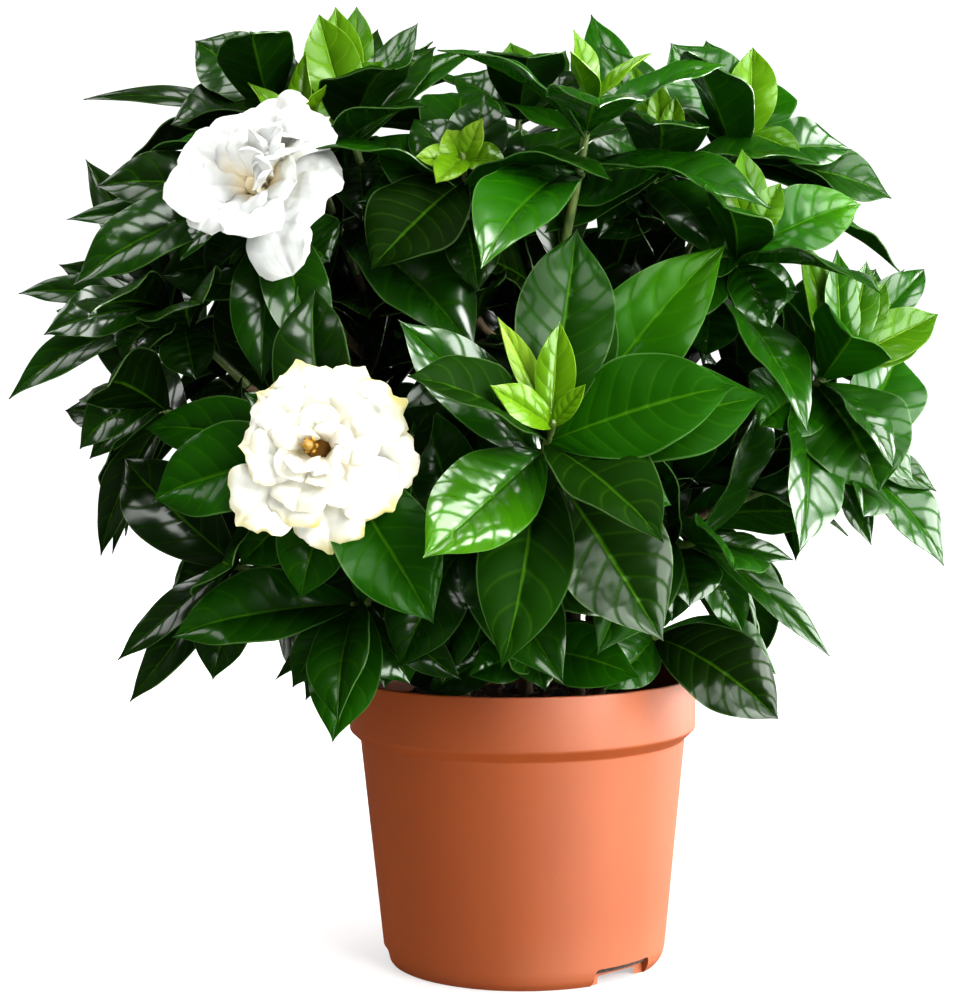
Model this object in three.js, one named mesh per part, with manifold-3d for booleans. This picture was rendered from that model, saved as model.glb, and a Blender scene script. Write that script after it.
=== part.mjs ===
// Potted gardenia: a moulded pot of potting mix with woody stems, leafy shoots, young light-green
// tips and two white double blooms. Millimetres, +Z up, the origin is the middle of the pot's foot
// on the surface that it stands on, and the plant's best side looks towards -Y.

import * as THREE from 'three';
import { mergeVertices } from 'three/addons/utils/BufferGeometryUtils.js';
import Module from 'manifold-3d';

const wasm = await Module();
wasm.setup();

const DEGREE = Math.PI / 180;
const UP = new THREE.Vector3(0, 0, 1);

// ---- Driving dimensions -----------------------------------------------------------------------

const POT_HEIGHT = 115.6;
const RIM_RADIUS = 70;
const COLLAR_FOOT_RADIUS = 69.8;
const COLLAR_STRAIGHT = 21.3;
const COLLAR_HEIGHT = 25.3;
const BODY_TOP_RADIUS = 65.5;
const BODY_FOOT_RADIUS = 57;
const FOOT_RADIUS = 54.2;
const WALL = 1.4;
const FLOOR_UNDERSIDE = 3;
const FLOOR_TOP = 4.8;
const BOSS_RADIUS = 12;
const POT_SIDES = 32;

const NOTCH_HEIGHT = 7;
const NOTCH_WIDTH = 30;
const NOTCH_TURNS = [47, -88, 160]; // degrees to the right of the front

const GAP = 0.3;
const SOIL_LEVEL = 103;
const SOIL_MOUND = 2;
const STEM_DEPTH = 42;

const STEM_RADIUS = 2.9;
const BRANCH_RADIUS = 1.9;
const TWIG_RADIUS = 1.8;
const TIP_RADIUS = 1.4;
const TRUNK_SIDES = 5;
const BRANCH_SIDES = 4;
const TRUNK_STEPS = 5;
const BRANCH_STEPS = 3;
const TWIG_SIDES = 4;

const LEAF_THICKNESS = 1.3;
const YOUNG_THICKNESS = 1.1;
const PETAL_THICKNESS = 1.2;
const FOOT_STANDOFF = 0.3; // a blade's foot starts this far out from the axis it grows on

// A leaf or petal keeps this clear of the pieces of every other node.
const CLEARANCE = 0.5;
// Cubic mm of a blade that may run through its own node's blades at their feet, and at most.
const SMALL_CROSSING = 0.6;
const LARGE_CROSSING = 24;

// ---- Where things are seen --------------------------------------------------------------------

// The plant is drawn as an eye at this place sees it, on a picture with this middle and focal
// length, both in picture points. Places below are picture columns and rows at a depth in mm.
const EYE = new THREE.Vector3(-17, -900, 234.6);
const PITCH = 3.1 * DEGREE;
const ROLL = 0.5 * DEGREE;
const FOCAL = 2237;
const MIDDLE_COLUMN = 478.5;
const MIDDLE_ROW = 500;

const viewForward = new THREE.Vector3(0, Math.cos(PITCH), -Math.sin(PITCH));
const levelUp = new THREE.Vector3(0, Math.sin(PITCH), Math.cos(PITCH));
const viewUp = levelUp.clone().multiplyScalar(Math.cos(ROLL));
viewUp.addScaledVector(new THREE.Vector3(1, 0, 0), Math.sin(ROLL));
const viewRight = new THREE.Vector3(Math.cos(ROLL), 0, 0).addScaledVector(levelUp, -Math.sin(ROLL));

/** The point at depth y = depth that is seen at a picture column and row. */
function seen({ column, row, depth }) {
  const ray = viewForward.clone().multiplyScalar(FOCAL);
  ray.addScaledVector(viewRight, column - MIDDLE_COLUMN);
  ray.addScaledVector(viewUp, MIDDLE_ROW - row);
  return EYE.clone().addScaledVector(ray, (depth - EYE.y) / ray.y);
}

/** The picture column and row of a point. */
function pictured(point) {
  const ray = point.clone().sub(EYE);
  const scale = FOCAL / ray.dot(viewForward);
  return {
    column: MIDDLE_COLUMN + ray.dot(viewRight) * scale,
    row: MIDDLE_ROW - ray.dot(viewUp) * scale,
  };
}

// ---- The plant --------------------------------------------------------------------------------

const at = (x, y, z) => new THREE.Vector3(x, y, z);
const spot = (column, row, depth) => ({ column, row, depth });
/** A leaf or petal that reaches to a picture place at a depth, with its width in mm. */
const leaf = (column, row, depth, width, arch = 32) => ({ column, row, depth, width, arch });

// Shoots grow away from this point inside the crown.
const HEART = at(-12, 8, 158);

// Each woody stem: where it leaves the soil, where it bends, and its top.
const STEMS = {
  left: { foot: at(-24, 6, SOIL_LEVEL), bend: at(-36, 4, 160), top: at(-58, 0, 236) },
  middle: { foot: at(2, 22, SOIL_LEVEL), bend: at(0, 32, 160), top: at(-6, 36, 250) },
  right: { foot: at(22, -14, SOIL_LEVEL), bend: at(20, -22, 150), top: at(14, -34, 232) },
  outer: { foot: at(31, 2, SOIL_LEVEL), bend: at(46, 2, 150), top: at(66, 0, 226) },
};
const LOWEST_BRANCH = 126;
const BRANCH_SLOPE = 0.6;

// The near side: each shoot's tip, its own leaves that stand out, and its young light leaves.
const SHOOTS = [
  {
    name: 'front', stem: 'right', tip: spot(550, 434, -122), twig: 62, rule: 4,
    leaves: [
      leaf(577, 228, -104, 35, 20), leaf(735, 385, -133, 40, 24), leaf(766, 394, -112, 38, 24),
      leaf(423, 557, -141, 36, 22), leaf(664, 641, -124, 43, 24), leaf(398, 319, -110, 27),
      leaf(672, 505, -96, 30), leaf(490, 604, -100, 24), leaf(727, 243, -92, 38, 20),
    ],
    young: [
      leaf(497, 317, -120, 9, 10), leaf(560, 321, -130, 14, 20), leaf(489, 386, -139, 13, 20),
      leaf(586, 384, -138, 7, 10),
    ],
  },
  {
    name: 'upper_mid', stem: 'right', tip: spot(464, 176, -76), twig: 50, rule: 5,
    leaves: [
      leaf(370, 268, -98, 38, 30), leaf(413, 118, -66, 22), leaf(484, 94, -60, 24),
      leaf(521, 128, -58, 22), leaf(356, 202, -78, 28), leaf(478, 292, -92, 20),
    ],
    young: [
      leaf(415, 158, -84, 12), leaf(446, 130, -78, 13), leaf(483, 118, -84, 10, 12),
      leaf(507, 164, -84, 13), leaf(436, 184, -92, 12),
    ],
  },
  {
    name: 'top_right', stem: 'right', tip: spot(662, 163, -46), twig: 52, rule: 4,
    leaves: [
      leaf(513, 190, -64, 33, 30), leaf(496, 240, -72, 26, 30), leaf(718, 260, -80, 28, 40),
      leaf(579, 122, -42, 20), leaf(601, 42, -30, 34, 24), leaf(591, 13, -14, 24, 34),
    ],
    young: [
      leaf(657, 79, -50, 11, 14), leaf(629, 62, -42, 10, 14), leaf(675, 96, -52, 9, 14),
    ],
  },
  {
    name: 'crest_right', stem: 'outer', tip: spot(744, 146, -24), twig: 50, rule: 4,
    leaves: [
      leaf(671, 42, -18, 32, 20), leaf(852, 148, -20, 28, 34), leaf(893, 197, -42, 32, 34),
      leaf(706, 39, 2, 26, 30),
    ],
    young: [
      leaf(752, 48, -24, 20, 24), leaf(800, 158, -34, 12),
    ],
  },
  {
    name: 'upper_right', stem: 'outer', tip: spot(746, 248, -70), twig: 50, rule: 5,
    leaves: [
      leaf(862, 203, -68, 26, 26), leaf(686, 262, -74, 18), leaf(772, 330, -78, 22),
      leaf(655, 312, -84, 24),
    ],
    young: [
      leaf(724, 162, -74, 14, 14), leaf(741, 150, -68, 14, 14), leaf(781, 183, -72, 12, 14),
      leaf(706, 208, -76, 10),
    ],
  },
  {
    name: 'right', stem: 'outer', tip: spot(832, 372, -52), twig: 52, rule: 4,
    leaves: [
      leaf(925, 268, -28, 14, 60), leaf(905, 268, -36, 13), leaf(880, 493, -64, 46, 34),
      leaf(915, 482, -52, 26, 30), leaf(790, 371, -70, 12), leaf(760, 425, -74, 34),
    ],
    young: [
      leaf(801, 239, -58, 17, 20), leaf(836, 250, -60, 16, 26), leaf(866, 262, -50, 15, 30),
      leaf(886, 281, -46, 14, 20), leaf(937, 316, -40, 21, 16), leaf(921, 346, -46, 14, 16),
    ],
  },
  {
    name: 'right_low', stem: 'outer', tip: spot(848, 452, -10), twig: 46, rule: 5,
    leaves: [
      leaf(937, 491, -18, 15, 44), leaf(945, 566, -28, 24, 54), leaf(872, 545, -22, 12, 20),
      leaf(905, 420, 0, 24),
    ],
  },
  {
    name: 'lower_right', stem: 'right', tip: spot(704, 540, -44), twig: 44, rule: 4,
    leaves: [
      leaf(831, 657, -50, 12, 24), leaf(794, 560, -36, 9, 40), leaf(771, 550, -30, 8, 30),
      leaf(744, 634, -38, 17, 50), leaf(690, 606, -60, 28),
    ],
  },
  {
    name: 'rim_right', stem: 'outer', tip: spot(660, 640, -44), twig: 30, rule: 2,
    leaves: [
      leaf(780, 720, -66, 32, 84), leaf(604, 690, -64, 20, 44), leaf(735, 668, -20, 26, 50),
      leaf(640, 606, -40, 22),
    ],
  },
  {
    name: 'soil_front', stem: 'right', tip: spot(530, 650, -48), twig: 26, rule: 2,
    leaves: [
      leaf(468, 676, -64, 18, 40), leaf(562, 603, -60, 17, 24), leaf(545, 690, -68, 20, 50),
      leaf(470, 622, -56, 22, 30), leaf(595, 655, -58, 18, 40),
    ],
  },
  {
    name: 'crest_mid', stem: 'middle', tip: spot(520, 106, 0), twig: 48, rule: 6,
    leaves: [
      leaf(590, 76, 6, 16, 26), leaf(452, 77, 8, 22, 24), leaf(566, 50, 22, 16),
    ],
    young: [
      leaf(510, 43, -4, 20, 24), leaf(546, 70, 4, 14, 20),
    ],
  },
  {
    name: 'crest_left', stem: 'left', tip: spot(350, 128, -38), twig: 50, rule: 4,
    leaves: [
      leaf(418, 22, -28, 15, 24), leaf(436, 46, -16, 22, 24), leaf(480, 50, 0, 12, 50),
      leaf(378, 28, -20, 16), leaf(362, 222, -64, 22),
    ],
    young: [
      leaf(319, 15, -40, 22, 16), leaf(336, 8, -30, 18, 16), leaf(357, 8, -26, 16, 16),
      leaf(288, 88, -48, 16, 20), leaf(384, 62, -40, 14, 14),
    ],
  },
  {
    name: 'far_left_top', stem: 'left', tip: spot(264, 100, -18), twig: 50, rule: 4,
    leaves: [
      leaf(195, 40, -20, 30, 26), leaf(170, 124, -34, 27, 26), leaf(83, 99, -10, 10, 40),
      leaf(250, 30, 4, 28), leaf(292, 52, -10, 20),
    ],
  },
  {
    name: 'bloom_upper', stem: 'left', tip: spot(262, 190, -72), twig: 48, rule: 3,
    leaves: [
      leaf(72, 285, -84, 30, 30), leaf(94, 186, -58, 26, 34), leaf(66, 219, -46, 14, 26),
      leaf(322, 373, -100, 24, 40), leaf(262, 384, -104, 26, 40), leaf(236, 290, -98, 22, 30),
      leaf(330, 262, -92, 30, 30),
    ],
  },
  {
    name: 'left', stem: 'left', tip: spot(158, 300, -52), twig: 48, rule: 4,
    leaves: [
      leaf(18, 293, -42, 14, 30), leaf(43, 334, -56, 22, 40), leaf(122, 361, -72, 24, 44),
      leaf(8, 399, -48, 18, 60), leaf(58, 264, -38, 15), leaf(85, 158, -30, 18),
    ],
  },
  {
    name: 'left_low', stem: 'left', tip: spot(152, 402, -36), twig: 46, rule: 4,
    leaves: [
      leaf(79, 449, -42, 20, 80), leaf(89, 459, -30, 12, 40), leaf(100, 556, -36, 18, 40),
      leaf(112, 554, -20, 9, 20), leaf(64, 410, -20, 22, 30),
    ],
  },
  {
    name: 'bloom_lower', stem: 'left', tip: spot(322, 448, -112), twig: 52, rule: 3,
    leaves: [
      leaf(151, 499, -108, 34, 26), leaf(143, 428, -96, 24, 26), leaf(434, 624, -120, 36, 30),
      leaf(244, 392, -104, 22), leaf(406, 420, -108, 26), leaf(300, 600, -110, 28, 40),
    ],
  },
  {
    name: 'lower_left', stem: 'left', tip: spot(226, 566, -62), twig: 44, rule: 4,
    leaves: [
      leaf(117, 660, -68, 14, 20), leaf(129, 702, -62, 19, 20), leaf(212, 680, -74, 25, 30),
      leaf(262, 622, -80, 24, 30),
    ],
  },
  {
    name: 'hanging', stem: 'left', tip: spot(352, 604, -84), twig: 40, rule: 3,
    leaves: [
      leaf(292, 688, -86, 16, 26), leaf(305, 701, -80, 12, 30), leaf(332, 742, -96, 27, 30),
      leaf(275, 680, -66, 7, 20), leaf(462, 680, -88, 16, 30),
    ],
  },
  {
    name: 'lower_mid', stem: 'right', tip: spot(462, 540, -76), twig: 44, rule: 6,
    leaves: [
      leaf(420, 400, -86, 26, 30), leaf(400, 668, -92, 30, 40),
    ],
  },
  {
    name: 'inner_right', stem: 'outer', tip: spot(700, 470, -34), twig: 44, rule: 8,
    leaves: [],
  },
];

// The far side follows a rule: shoots at equal turns round the crown, on three levels.
const FAR_LEVELS = [
  { count: 4, height: 322, reach: 84, first: 62, turn: 78, young: true },
  { count: 5, height: 252, reach: 128, first: 18, turn: 36, young: true },
  { count: 4, height: 176, reach: 122, first: 34, turn: 37, young: false },
];
const FAR_TWIG = 50;
const FAR_RULE_LEAVES = 8;
const YOUNG_COUNT = 3;
const CROWN_AXIS_X = -14;
const CROWN_AXIS_Y = -4;

// Outer edge of the crown as seen from the front; leaves that follow the rule stay inside it.
const CROWN_EDGE = [
  [196, 34], [270, 30], [320, 14], [372, 20], [420, 30], [470, 62], [512, 48], [570, 62], [596, 18],
  [640, 30], [720, 44], [770, 60], [800, 112], [852, 136], [886, 196], [912, 262], [930, 320],
  [908, 372], [900, 430], [930, 490], [930, 540], [876, 500], [860, 540], [800, 560], [790, 610],
  [744, 600], [730, 640], [790, 680], [776, 712], [720, 684], [690, 676], [600, 688], [470, 688],
  [380, 686], [336, 724], [300, 690], [296, 610], [250, 640], [212, 672], [190, 660], [134, 694],
  [128, 650], [200, 570], [204, 524], [120, 540], [96, 500], [110, 430], [70, 430], [70, 390],
  [24, 380], [44, 330], [26, 294], [66, 258], [80, 214], [92, 170], [150, 140], [172, 90],
].map(([column, row]) => ({ column, row }));

// The two blooms: their heart, the way they look, and the tips of their outer petals.
const BLOOMS = [
  {
    name: 'bloom_lower', heart: spot(318, 448, -122), looks: at(-0.14, -1, 0.1), shoot: 'bloom_lower',
    outer: [
      leaf(330, 556, -124, 26), leaf(396, 511, -124, 22), leaf(424, 472, -122, 24),
      leaf(406, 398, -122, 26), leaf(362, 366, -122, 24), leaf(296, 361, -120, 24),
      leaf(254, 392, -122, 22), leaf(240, 446, -124, 24), leaf(233, 526, -124, 26),
      leaf(282, 528, -124, 22),
    ],
    rings: [
      { petals: 6, reach: 23, lift: 8, width: 20, start: 12, rise: 2.4 },
      { petals: 5, reach: 14, lift: 12, width: 13, start: 40, rise: 3.4 },
    ],
    centre: true,
  },
  {
    name: 'bloom_upper', heart: spot(256, 182, -88), looks: at(-0.3, -0.82, 0.5), shoot: 'bloom_upper',
    outer: [
      leaf(161, 190, -98, 27), leaf(184, 146, -84, 22), leaf(196, 222, -106, 26),
      leaf(248, 234, -112, 24), leaf(289, 270, -106, 24), leaf(324, 212, -96, 24),
      leaf(341, 160, -84, 26), leaf(322, 112, -76, 24), leaf(284, 91, -70, 22),
      leaf(236, 112, -76, 22),
    ],
    rings: [
      { petals: 6, reach: 19, lift: 14, width: 20, start: 20, rise: 2.4 },
      { petals: 4, reach: 9, lift: 20, width: 14, start: 50, rise: 3.4 },
    ],
    centre: false,
  },
];
const BLOOM_CORE_RADIUS = 7;
const BLOOM_CORE_SINK = 5;
const PETAL_FOOT = 4.3; // from the core's middle out to a petal's foot
const PETAL_STEP = 1.3; // petals lie by turns this far before and behind their layer
const BLOOM_VEIL = 104; // picture points round a bloom that ruled leaves leave free

// ---- Solids -----------------------------------------------------------------------------------

/** A closed geometry as a solid that joins and cuts. */
function solidOf(geometry) {
  const plain = geometry.clone();
  plain.deleteAttribute('normal');
  plain.deleteAttribute('uv');
  const merged = mergeVertices(plain, 1e-4);
  const mesh = new wasm.Mesh({
    numProp: 3,
    vertProperties: new Float32Array(merged.attributes.position.array),
    triVerts: new Uint32Array(merged.index.array),
  });
  return new wasm.Manifold(mesh);
}

/** A solid as a geometry with flat faces. */
function geometryOf(solid) {
  const mesh = solid.getMesh();
  const geometry = new THREE.BufferGeometry();
  geometry.setAttribute('position', new THREE.BufferAttribute(mesh.vertProperties.slice(), 3));
  geometry.setIndex(new THREE.BufferAttribute(mesh.triVerts.slice(), 1));
  geometry.computeVertexNormals();
  return geometry;
}

/** A round rod along a curve, with flat ends. */
function rod(curve, radius, sides, steps) {
  const section = new THREE.Shape();
  for (let side = 0; side < sides; side += 1) {
    const angle = (2 * Math.PI * side) / sides;
    const corner = [radius * Math.cos(angle), radius * Math.sin(angle)];
    if (side) section.lineTo(...corner);
    else section.moveTo(...corner);
  }
  const geometry = new THREE.ExtrudeGeometry(section, { steps, extrudePath: curve, bevelEnabled: false });
  return solidOf(geometry);
}

/** An upright rod with level rings of the same size at each of its points. */
function column(points, radius, sides) {
  const corners = [];
  for (const point of points) {
    for (let side = 0; side < sides; side += 1) {
      const angle = (2 * Math.PI * side) / sides;
      corners.push(point.x + radius * Math.cos(angle), point.y + radius * Math.sin(angle), point.z);
    }
  }
  const faces = [];
  for (let ring = 0; ring + 1 < points.length; ring += 1) {
    for (let side = 0; side < sides; side += 1) {
      const [here, next] = [ring * sides + side, ring * sides + ((side + 1) % sides)];
      faces.push(here, next, next + sides, here, next + sides, here + sides);
    }
  }
  const crest = (points.length - 1) * sides;
  for (let side = 1; side + 1 < sides; side += 1) {
    faces.push(0, side + 1, side, crest, crest + side, crest + side + 1);
  }
  const geometry = new THREE.BufferGeometry();
  geometry.setAttribute('position', new THREE.Float32BufferAttribute(corners, 3));
  geometry.setIndex(faces);
  return solidOf(geometry);
}

/** A turned solid about the Z axis from radius and height pairs. */
function turned(profile, sides) {
  const points = profile.map(([radius, height]) => new THREE.Vector2(radius, height));
  const geometry = new THREE.LatheGeometry(points, sides);
  geometry.rotateX(Math.PI / 2);
  return solidOf(geometry);
}

/** A repeatable number from 0 to 1 for a seed and a draw. */
function draw(seed, pick) {
  const wave = Math.sin(seed * 12.9898 + pick * 78.233) * 43758.5453;
  return wave - Math.floor(wave);
}

// Shares of the length and of the full width, from a narrow foot to a pointed tip.
const LEAF_OUTLINE = [[0.24, 0.54], [0.5, 1], [0.79, 0.7]];
const PLAIN_LEAF_OUTLINE = [[0.42, 0.98], [0.76, 0.76]];
const YOUNG_OUTLINE = [[0.4, 0.9], [0.75, 0.8]];
const PETAL_OUTLINE = [[0.66, 1], [0.93, 0.66]];
const SLIM_WIDTH = 29; // leaves below this width have the plain outline

/**
 * A leaf or petal: a blade on an arched midrib from base to tip, folded along that midrib and
 * thickest there. It has a side for each stretch of its outline, split alike above and below.
 */
function blade({ base, tip, face, width, arch, fold, thickness, outline }, spare = 0) {
  const chord = tip.clone().sub(base);
  const span = chord.length();
  const along = chord.normalize();
  const out = face.clone().addScaledVector(along, -face.dot(along)).normalize();
  const left = new THREE.Vector3().crossVectors(out, along);
  const bend = Math.max(arch, 1) * DEGREE;
  const radius = span / (2 * Math.sin(bend / 2));
  const rise = Math.sin(fold * DEGREE);
  const reach = Math.cos(fold * DEGREE);

  const place = (share, sideways, above) => {
    const angle = bend * (share - 0.5);
    const point = base.clone();
    point.addScaledVector(along, radius * (Math.sin(angle) + Math.sin(bend / 2)));
    point.addScaledVector(out, radius * (Math.cos(angle) - Math.cos(bend / 2)));
    point.addScaledVector(left, sideways * reach);
    const lift = above + Math.abs(sideways) * rise;
    point.addScaledVector(out, lift * Math.cos(angle));
    point.addScaledVector(along, lift * Math.sin(angle));
    return point;
  };

  const points = [place(FOOT_STANDOFF / span, 0, 0)];
  for (const [share, part] of outline) {
    const half = (part * width) / 2 + spare;
    const depth = thickness / 2 + spare;
    points.push(place(share, half, 0), place(share, 0, depth));
    points.push(place(share, -half, 0), place(share, 0, -depth));
  }
  const last = points.length;
  points.push(place(1 + spare / span, 0, 0));

  const faces = [0, 2, 1, 0, 3, 2, 0, 1, 4, 0, 4, 3];
  for (let l = 1; l + 4 < last; l += 4) {
    const [t, r, b, nl, nt, nr, nb] = [l + 1, l + 2, l + 3, l + 4, l + 5, l + 6, l + 7];
    faces.push(t, nt, l, nt, nl, l, r, nr, nt, r, nt, t);
    faces.push(b, l, nb, nb, l, nl, r, nb, nr, r, b, nb);
  }
  const [l, t, r, b] = [last - 4, last - 3, last - 2, last - 1];
  faces.push(t, last, l, r, last, t, b, l, last, r, b, last);

  const geometry = new THREE.BufferGeometry();
  geometry.setAttribute('position', new THREE.Float32BufferAttribute(points.flatMap((p) => p.toArray()), 3));
  geometry.setIndex(faces);
  return solidOf(geometry);
}

// ---- Pieces that are already placed -----------------------------------------------------------

const placed = [];

function place(node, solid) {
  placed.push({ node, solid, box: solid.boundingBox() });
}

const apart = (a, b) => [0, 1, 2].some((axis) => a.max[axis] < b.min[axis] || b.max[axis] < a.min[axis]);

/** Whether a solid is clear of every placed piece of the other nodes. */
function isClear(node, solid) {
  const box = solid.boundingBox();
  return placed.every((piece) => piece.node === node || apart(box, piece.box)
    || solid.intersect(piece.solid).isEmpty());
}

/** How much of a blade runs through the other blades of its own node. */
function ownCrossing(node, solid) {
  const box = solid.boundingBox();
  const own = placed.filter((piece) => piece.node === node && piece.isBlade && !apart(box, piece.box));
  return own.reduce((sum, piece) => sum + solid.intersect(piece.solid).volume(), 0);
}

/**
 * Of some blades that are clear of the other nodes, the first that hardly crosses its own node's
 * blades, or else the one that crosses them least. It is placed; with none clear there is none.
 */
function firstClear(node, blades) {
  let best = null;
  for (const shape of blades) {
    if (!isClear(node, blade(shape, CLEARANCE))) continue;
    const solid = blade(shape);
    const crossing = ownCrossing(node, solid);
    if (!best || crossing < best.crossing) best = { solid, crossing };
    if (crossing < SMALL_CROSSING) break;
  }
  if (!best || best.crossing > LARGE_CROSSING) return null;
  place(node, best.solid);
  placed.at(-1).isBlade = true;
  return best.solid;
}

// ---- Pot and soil -----------------------------------------------------------------------------

function makePot() {
  const collarFoot = POT_HEIGHT - COLLAR_STRAIGHT;
  const bodyTop = POT_HEIGHT - COLLAR_HEIGHT;
  const shell = turned([
    [0, 0], [BOSS_RADIUS, 0], [BOSS_RADIUS, FLOOR_UNDERSIDE],
    [FOOT_RADIUS - 2, FLOOR_UNDERSIDE], [FOOT_RADIUS - 2, 0], [FOOT_RADIUS, 0],
    [FOOT_RADIUS + 1.9, 2.4], [BODY_FOOT_RADIUS, 6],
    [BODY_TOP_RADIUS, bodyTop], [COLLAR_FOOT_RADIUS, collarFoot],
    [RIM_RADIUS, POT_HEIGHT - 0.8], [RIM_RADIUS - 0.6, POT_HEIGHT], [RIM_RADIUS - WALL, POT_HEIGHT],
    [COLLAR_FOOT_RADIUS - WALL, collarFoot + 0.8], [BODY_TOP_RADIUS - WALL, bodyTop + 0.8],
    [BODY_FOOT_RADIUS - WALL, FLOOR_TOP], [0, FLOOR_TOP],
  ], POT_SIDES);
  let pot = shell;
  for (const turn of NOTCH_TURNS) {
    const notch = new THREE.BoxGeometry(NOTCH_WIDTH, 12, NOTCH_HEIGHT + 2);
    notch.translate(0, -FOOT_RADIUS - 3, NOTCH_HEIGHT / 2 - 1);
    notch.rotateZ(turn * DEGREE);
    pot = pot.subtract(solidOf(notch));
  }
  return pot;
}

function makeSoil() {
  const collarFoot = POT_HEIGHT - COLLAR_STRAIGHT;
  const bodyTop = POT_HEIGHT - COLLAR_HEIGHT;
  const inner = WALL + GAP;
  let soil = turned([
    [0, FLOOR_TOP + GAP], [BODY_FOOT_RADIUS - inner, FLOOR_TOP + GAP],
    [BODY_TOP_RADIUS - inner, bodyTop + 1], [COLLAR_FOOT_RADIUS - inner, collarFoot + 1.1],
    [COLLAR_FOOT_RADIUS - inner, SOIL_LEVEL - 1.5], [44, SOIL_LEVEL], [0, SOIL_LEVEL + SOIL_MOUND],
  ], POT_SIDES);
  for (const { foot } of Object.values(STEMS)) {
    const hole = new THREE.CylinderGeometry(STEM_RADIUS + 0.6, STEM_RADIUS + 0.6, STEM_DEPTH + 10, 8);
    hole.rotateX(Math.PI / 2);
    hole.translate(foot.x, foot.y, foot.z - STEM_DEPTH - GAP + (STEM_DEPTH + 10) / 2);
    soil = soil.subtract(solidOf(hole));
  }
  return soil;
}

// ---- Stems and twigs --------------------------------------------------------------------------

/** A shoot's tip, the way it grows, and where its twig starts. */
function layOut(shoot) {
  const tip = shoot.tip.isVector3 ? shoot.tip : seen(shoot.tip);
  const grows = tip.clone().sub(HEART).normalize();
  grows.z += 0.12;
  grows.normalize();
  const root = tip.clone().addScaledVector(grows, -shoot.twig);
  return { ...shoot, tip, grows, root };
}

function farShoots() {
  const shoots = [];
  for (const [level, { count, height, reach, first, turn, young }] of FAR_LEVELS.entries()) {
    for (let index = 0; index < count; index += 1) {
      const seed = 100 + level * 10 + index;
      const angle = (first + turn * index) * DEGREE;
      const out = reach * (0.95 + 0.1 * draw(seed, 1));
      const tip = at(CROWN_AXIS_X + out * Math.cos(angle), CROWN_AXIS_Y + out * Math.sin(angle),
        height + 16 * (draw(seed, 2) - 0.5));
      const stem = tip.x < -50 ? 'left' : tip.x > 60 ? 'outer' : 'middle';
      shoots.push({
        name: `far_${level + 1}_${index + 1}`, stem, tip, twig: FAR_TWIG, rule: FAR_RULE_LEAVES,
        leaves: [], ruledYoung: young,
      });
    }
  }
  return shoots;
}

const shoots = [...SHOOTS, ...farShoots()].map(layOut);

/** A woody stem with a branch to each of its shoots. */
function makeStem(name, { foot, bend, top }) {
  const bottom = at(foot.x, foot.y, foot.z - STEM_DEPTH);
  const collar = foot.clone().addScaledVector(UP, 4);
  const trunk = new THREE.CatmullRomCurve3([collar, bend.clone(), top.clone()]);
  let stem = column([bottom, ...trunk.getSpacedPoints(TRUNK_STEPS)], STEM_RADIUS, TRUNK_SIDES);
  for (const shoot of shoots.filter((one) => one.stem === name)) {
    const end = shoot.root.clone().addScaledVector(shoot.grows, -GAP);
    const aside = Math.hypot(end.x - bend.x, end.y - bend.y);
    const height = Math.min(Math.max(end.z - BRANCH_SLOPE * aside - 8, LOWEST_BRANCH), top.z - 2);
    let share = 0;
    while (share < 1 && trunk.getPoint(share).z < height) share += 0.01;
    const start = trunk.getPoint(share);
    const pull = end.distanceTo(start) * 0.4;
    const branch = new THREE.CubicBezierCurve3(
      start,
      start.clone().addScaledVector(UP, pull),
      end.clone().addScaledVector(shoot.grows, -pull),
      end,
    );
    stem = stem.add(rod(branch, BRANCH_RADIUS, BRANCH_SIDES, BRANCH_STEPS));
  }
  return stem;
}

// ---- Leaves -----------------------------------------------------------------------------------

/** The way a shoot's leaves look: along the shoot and towards the light. */
const faceOf = (shoot) => shoot.grows.clone().addScaledVector(UP, 0.5).normalize();

/** The way its leaves with a picture place look: towards the front as well. */
const frontFaceOf = (shoot) => shoot.grows.clone().multiplyScalar(0.35)
  .addScaledVector(UP, 0.4).addScaledVector(at(0, -1, 0), 0.9).normalize();

const DEPTH_SHIFTS = [0, 6, -6, 12, -12, 18, 26];
const LENGTH_SHARES = [1, 0.86, 0.72];

/** A leaf with a picture place, its tip shifted in depth along the line of sight, then shortened. */
function* aimedBlades(spec, base, face, thickness, outline, fold) {
  for (const share of LENGTH_SHARES) {
    for (const shift of DEPTH_SHIFTS) {
      const goal = seen({ column: spec.column, row: spec.row, depth: spec.depth + shift });
      const tip = base.clone().lerp(goal, share);
      yield { base, tip, face, width: spec.width * share, arch: spec.arch, fold, thickness, outline };
    }
  }
}

const TURN_SHIFTS = [0, 14, -14, 28, -28];
const PITCH_SHIFTS = [0, 12, -12, 24];

/** A leaf that follows the rule: by its whorl and its turn round the shoot. */
function* ruledBlades(rule, base, shoot, face) {
  const { grows } = shoot;
  const level = Math.abs(grows.z) > 0.9 ? at(0, 1, 0) : UP;
  const across = new THREE.Vector3().crossVectors(grows, level).normalize();
  const other = new THREE.Vector3().crossVectors(grows, across);
  for (const share of LENGTH_SHARES) {
    for (const pitch of PITCH_SHIFTS) {
      for (const turn of TURN_SHIFTS) {
        const lean = (rule.lean + pitch) * DEGREE;
        const angle = (rule.turn + turn) * DEGREE;
        const way = grows.clone().multiplyScalar(Math.cos(lean));
        way.addScaledVector(across, Math.sin(lean) * Math.cos(angle));
        way.addScaledVector(other, Math.sin(lean) * Math.sin(angle));
        way.addScaledVector(UP, -rule.droop).normalize();
        const tip = base.clone().addScaledVector(way, rule.length * share);
        yield {
          base, tip, face, width: rule.width * share, arch: rule.arch, fold: rule.fold,
          thickness: rule.thickness, outline: rule.outline,
        };
      }
    }
  }
}

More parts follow.
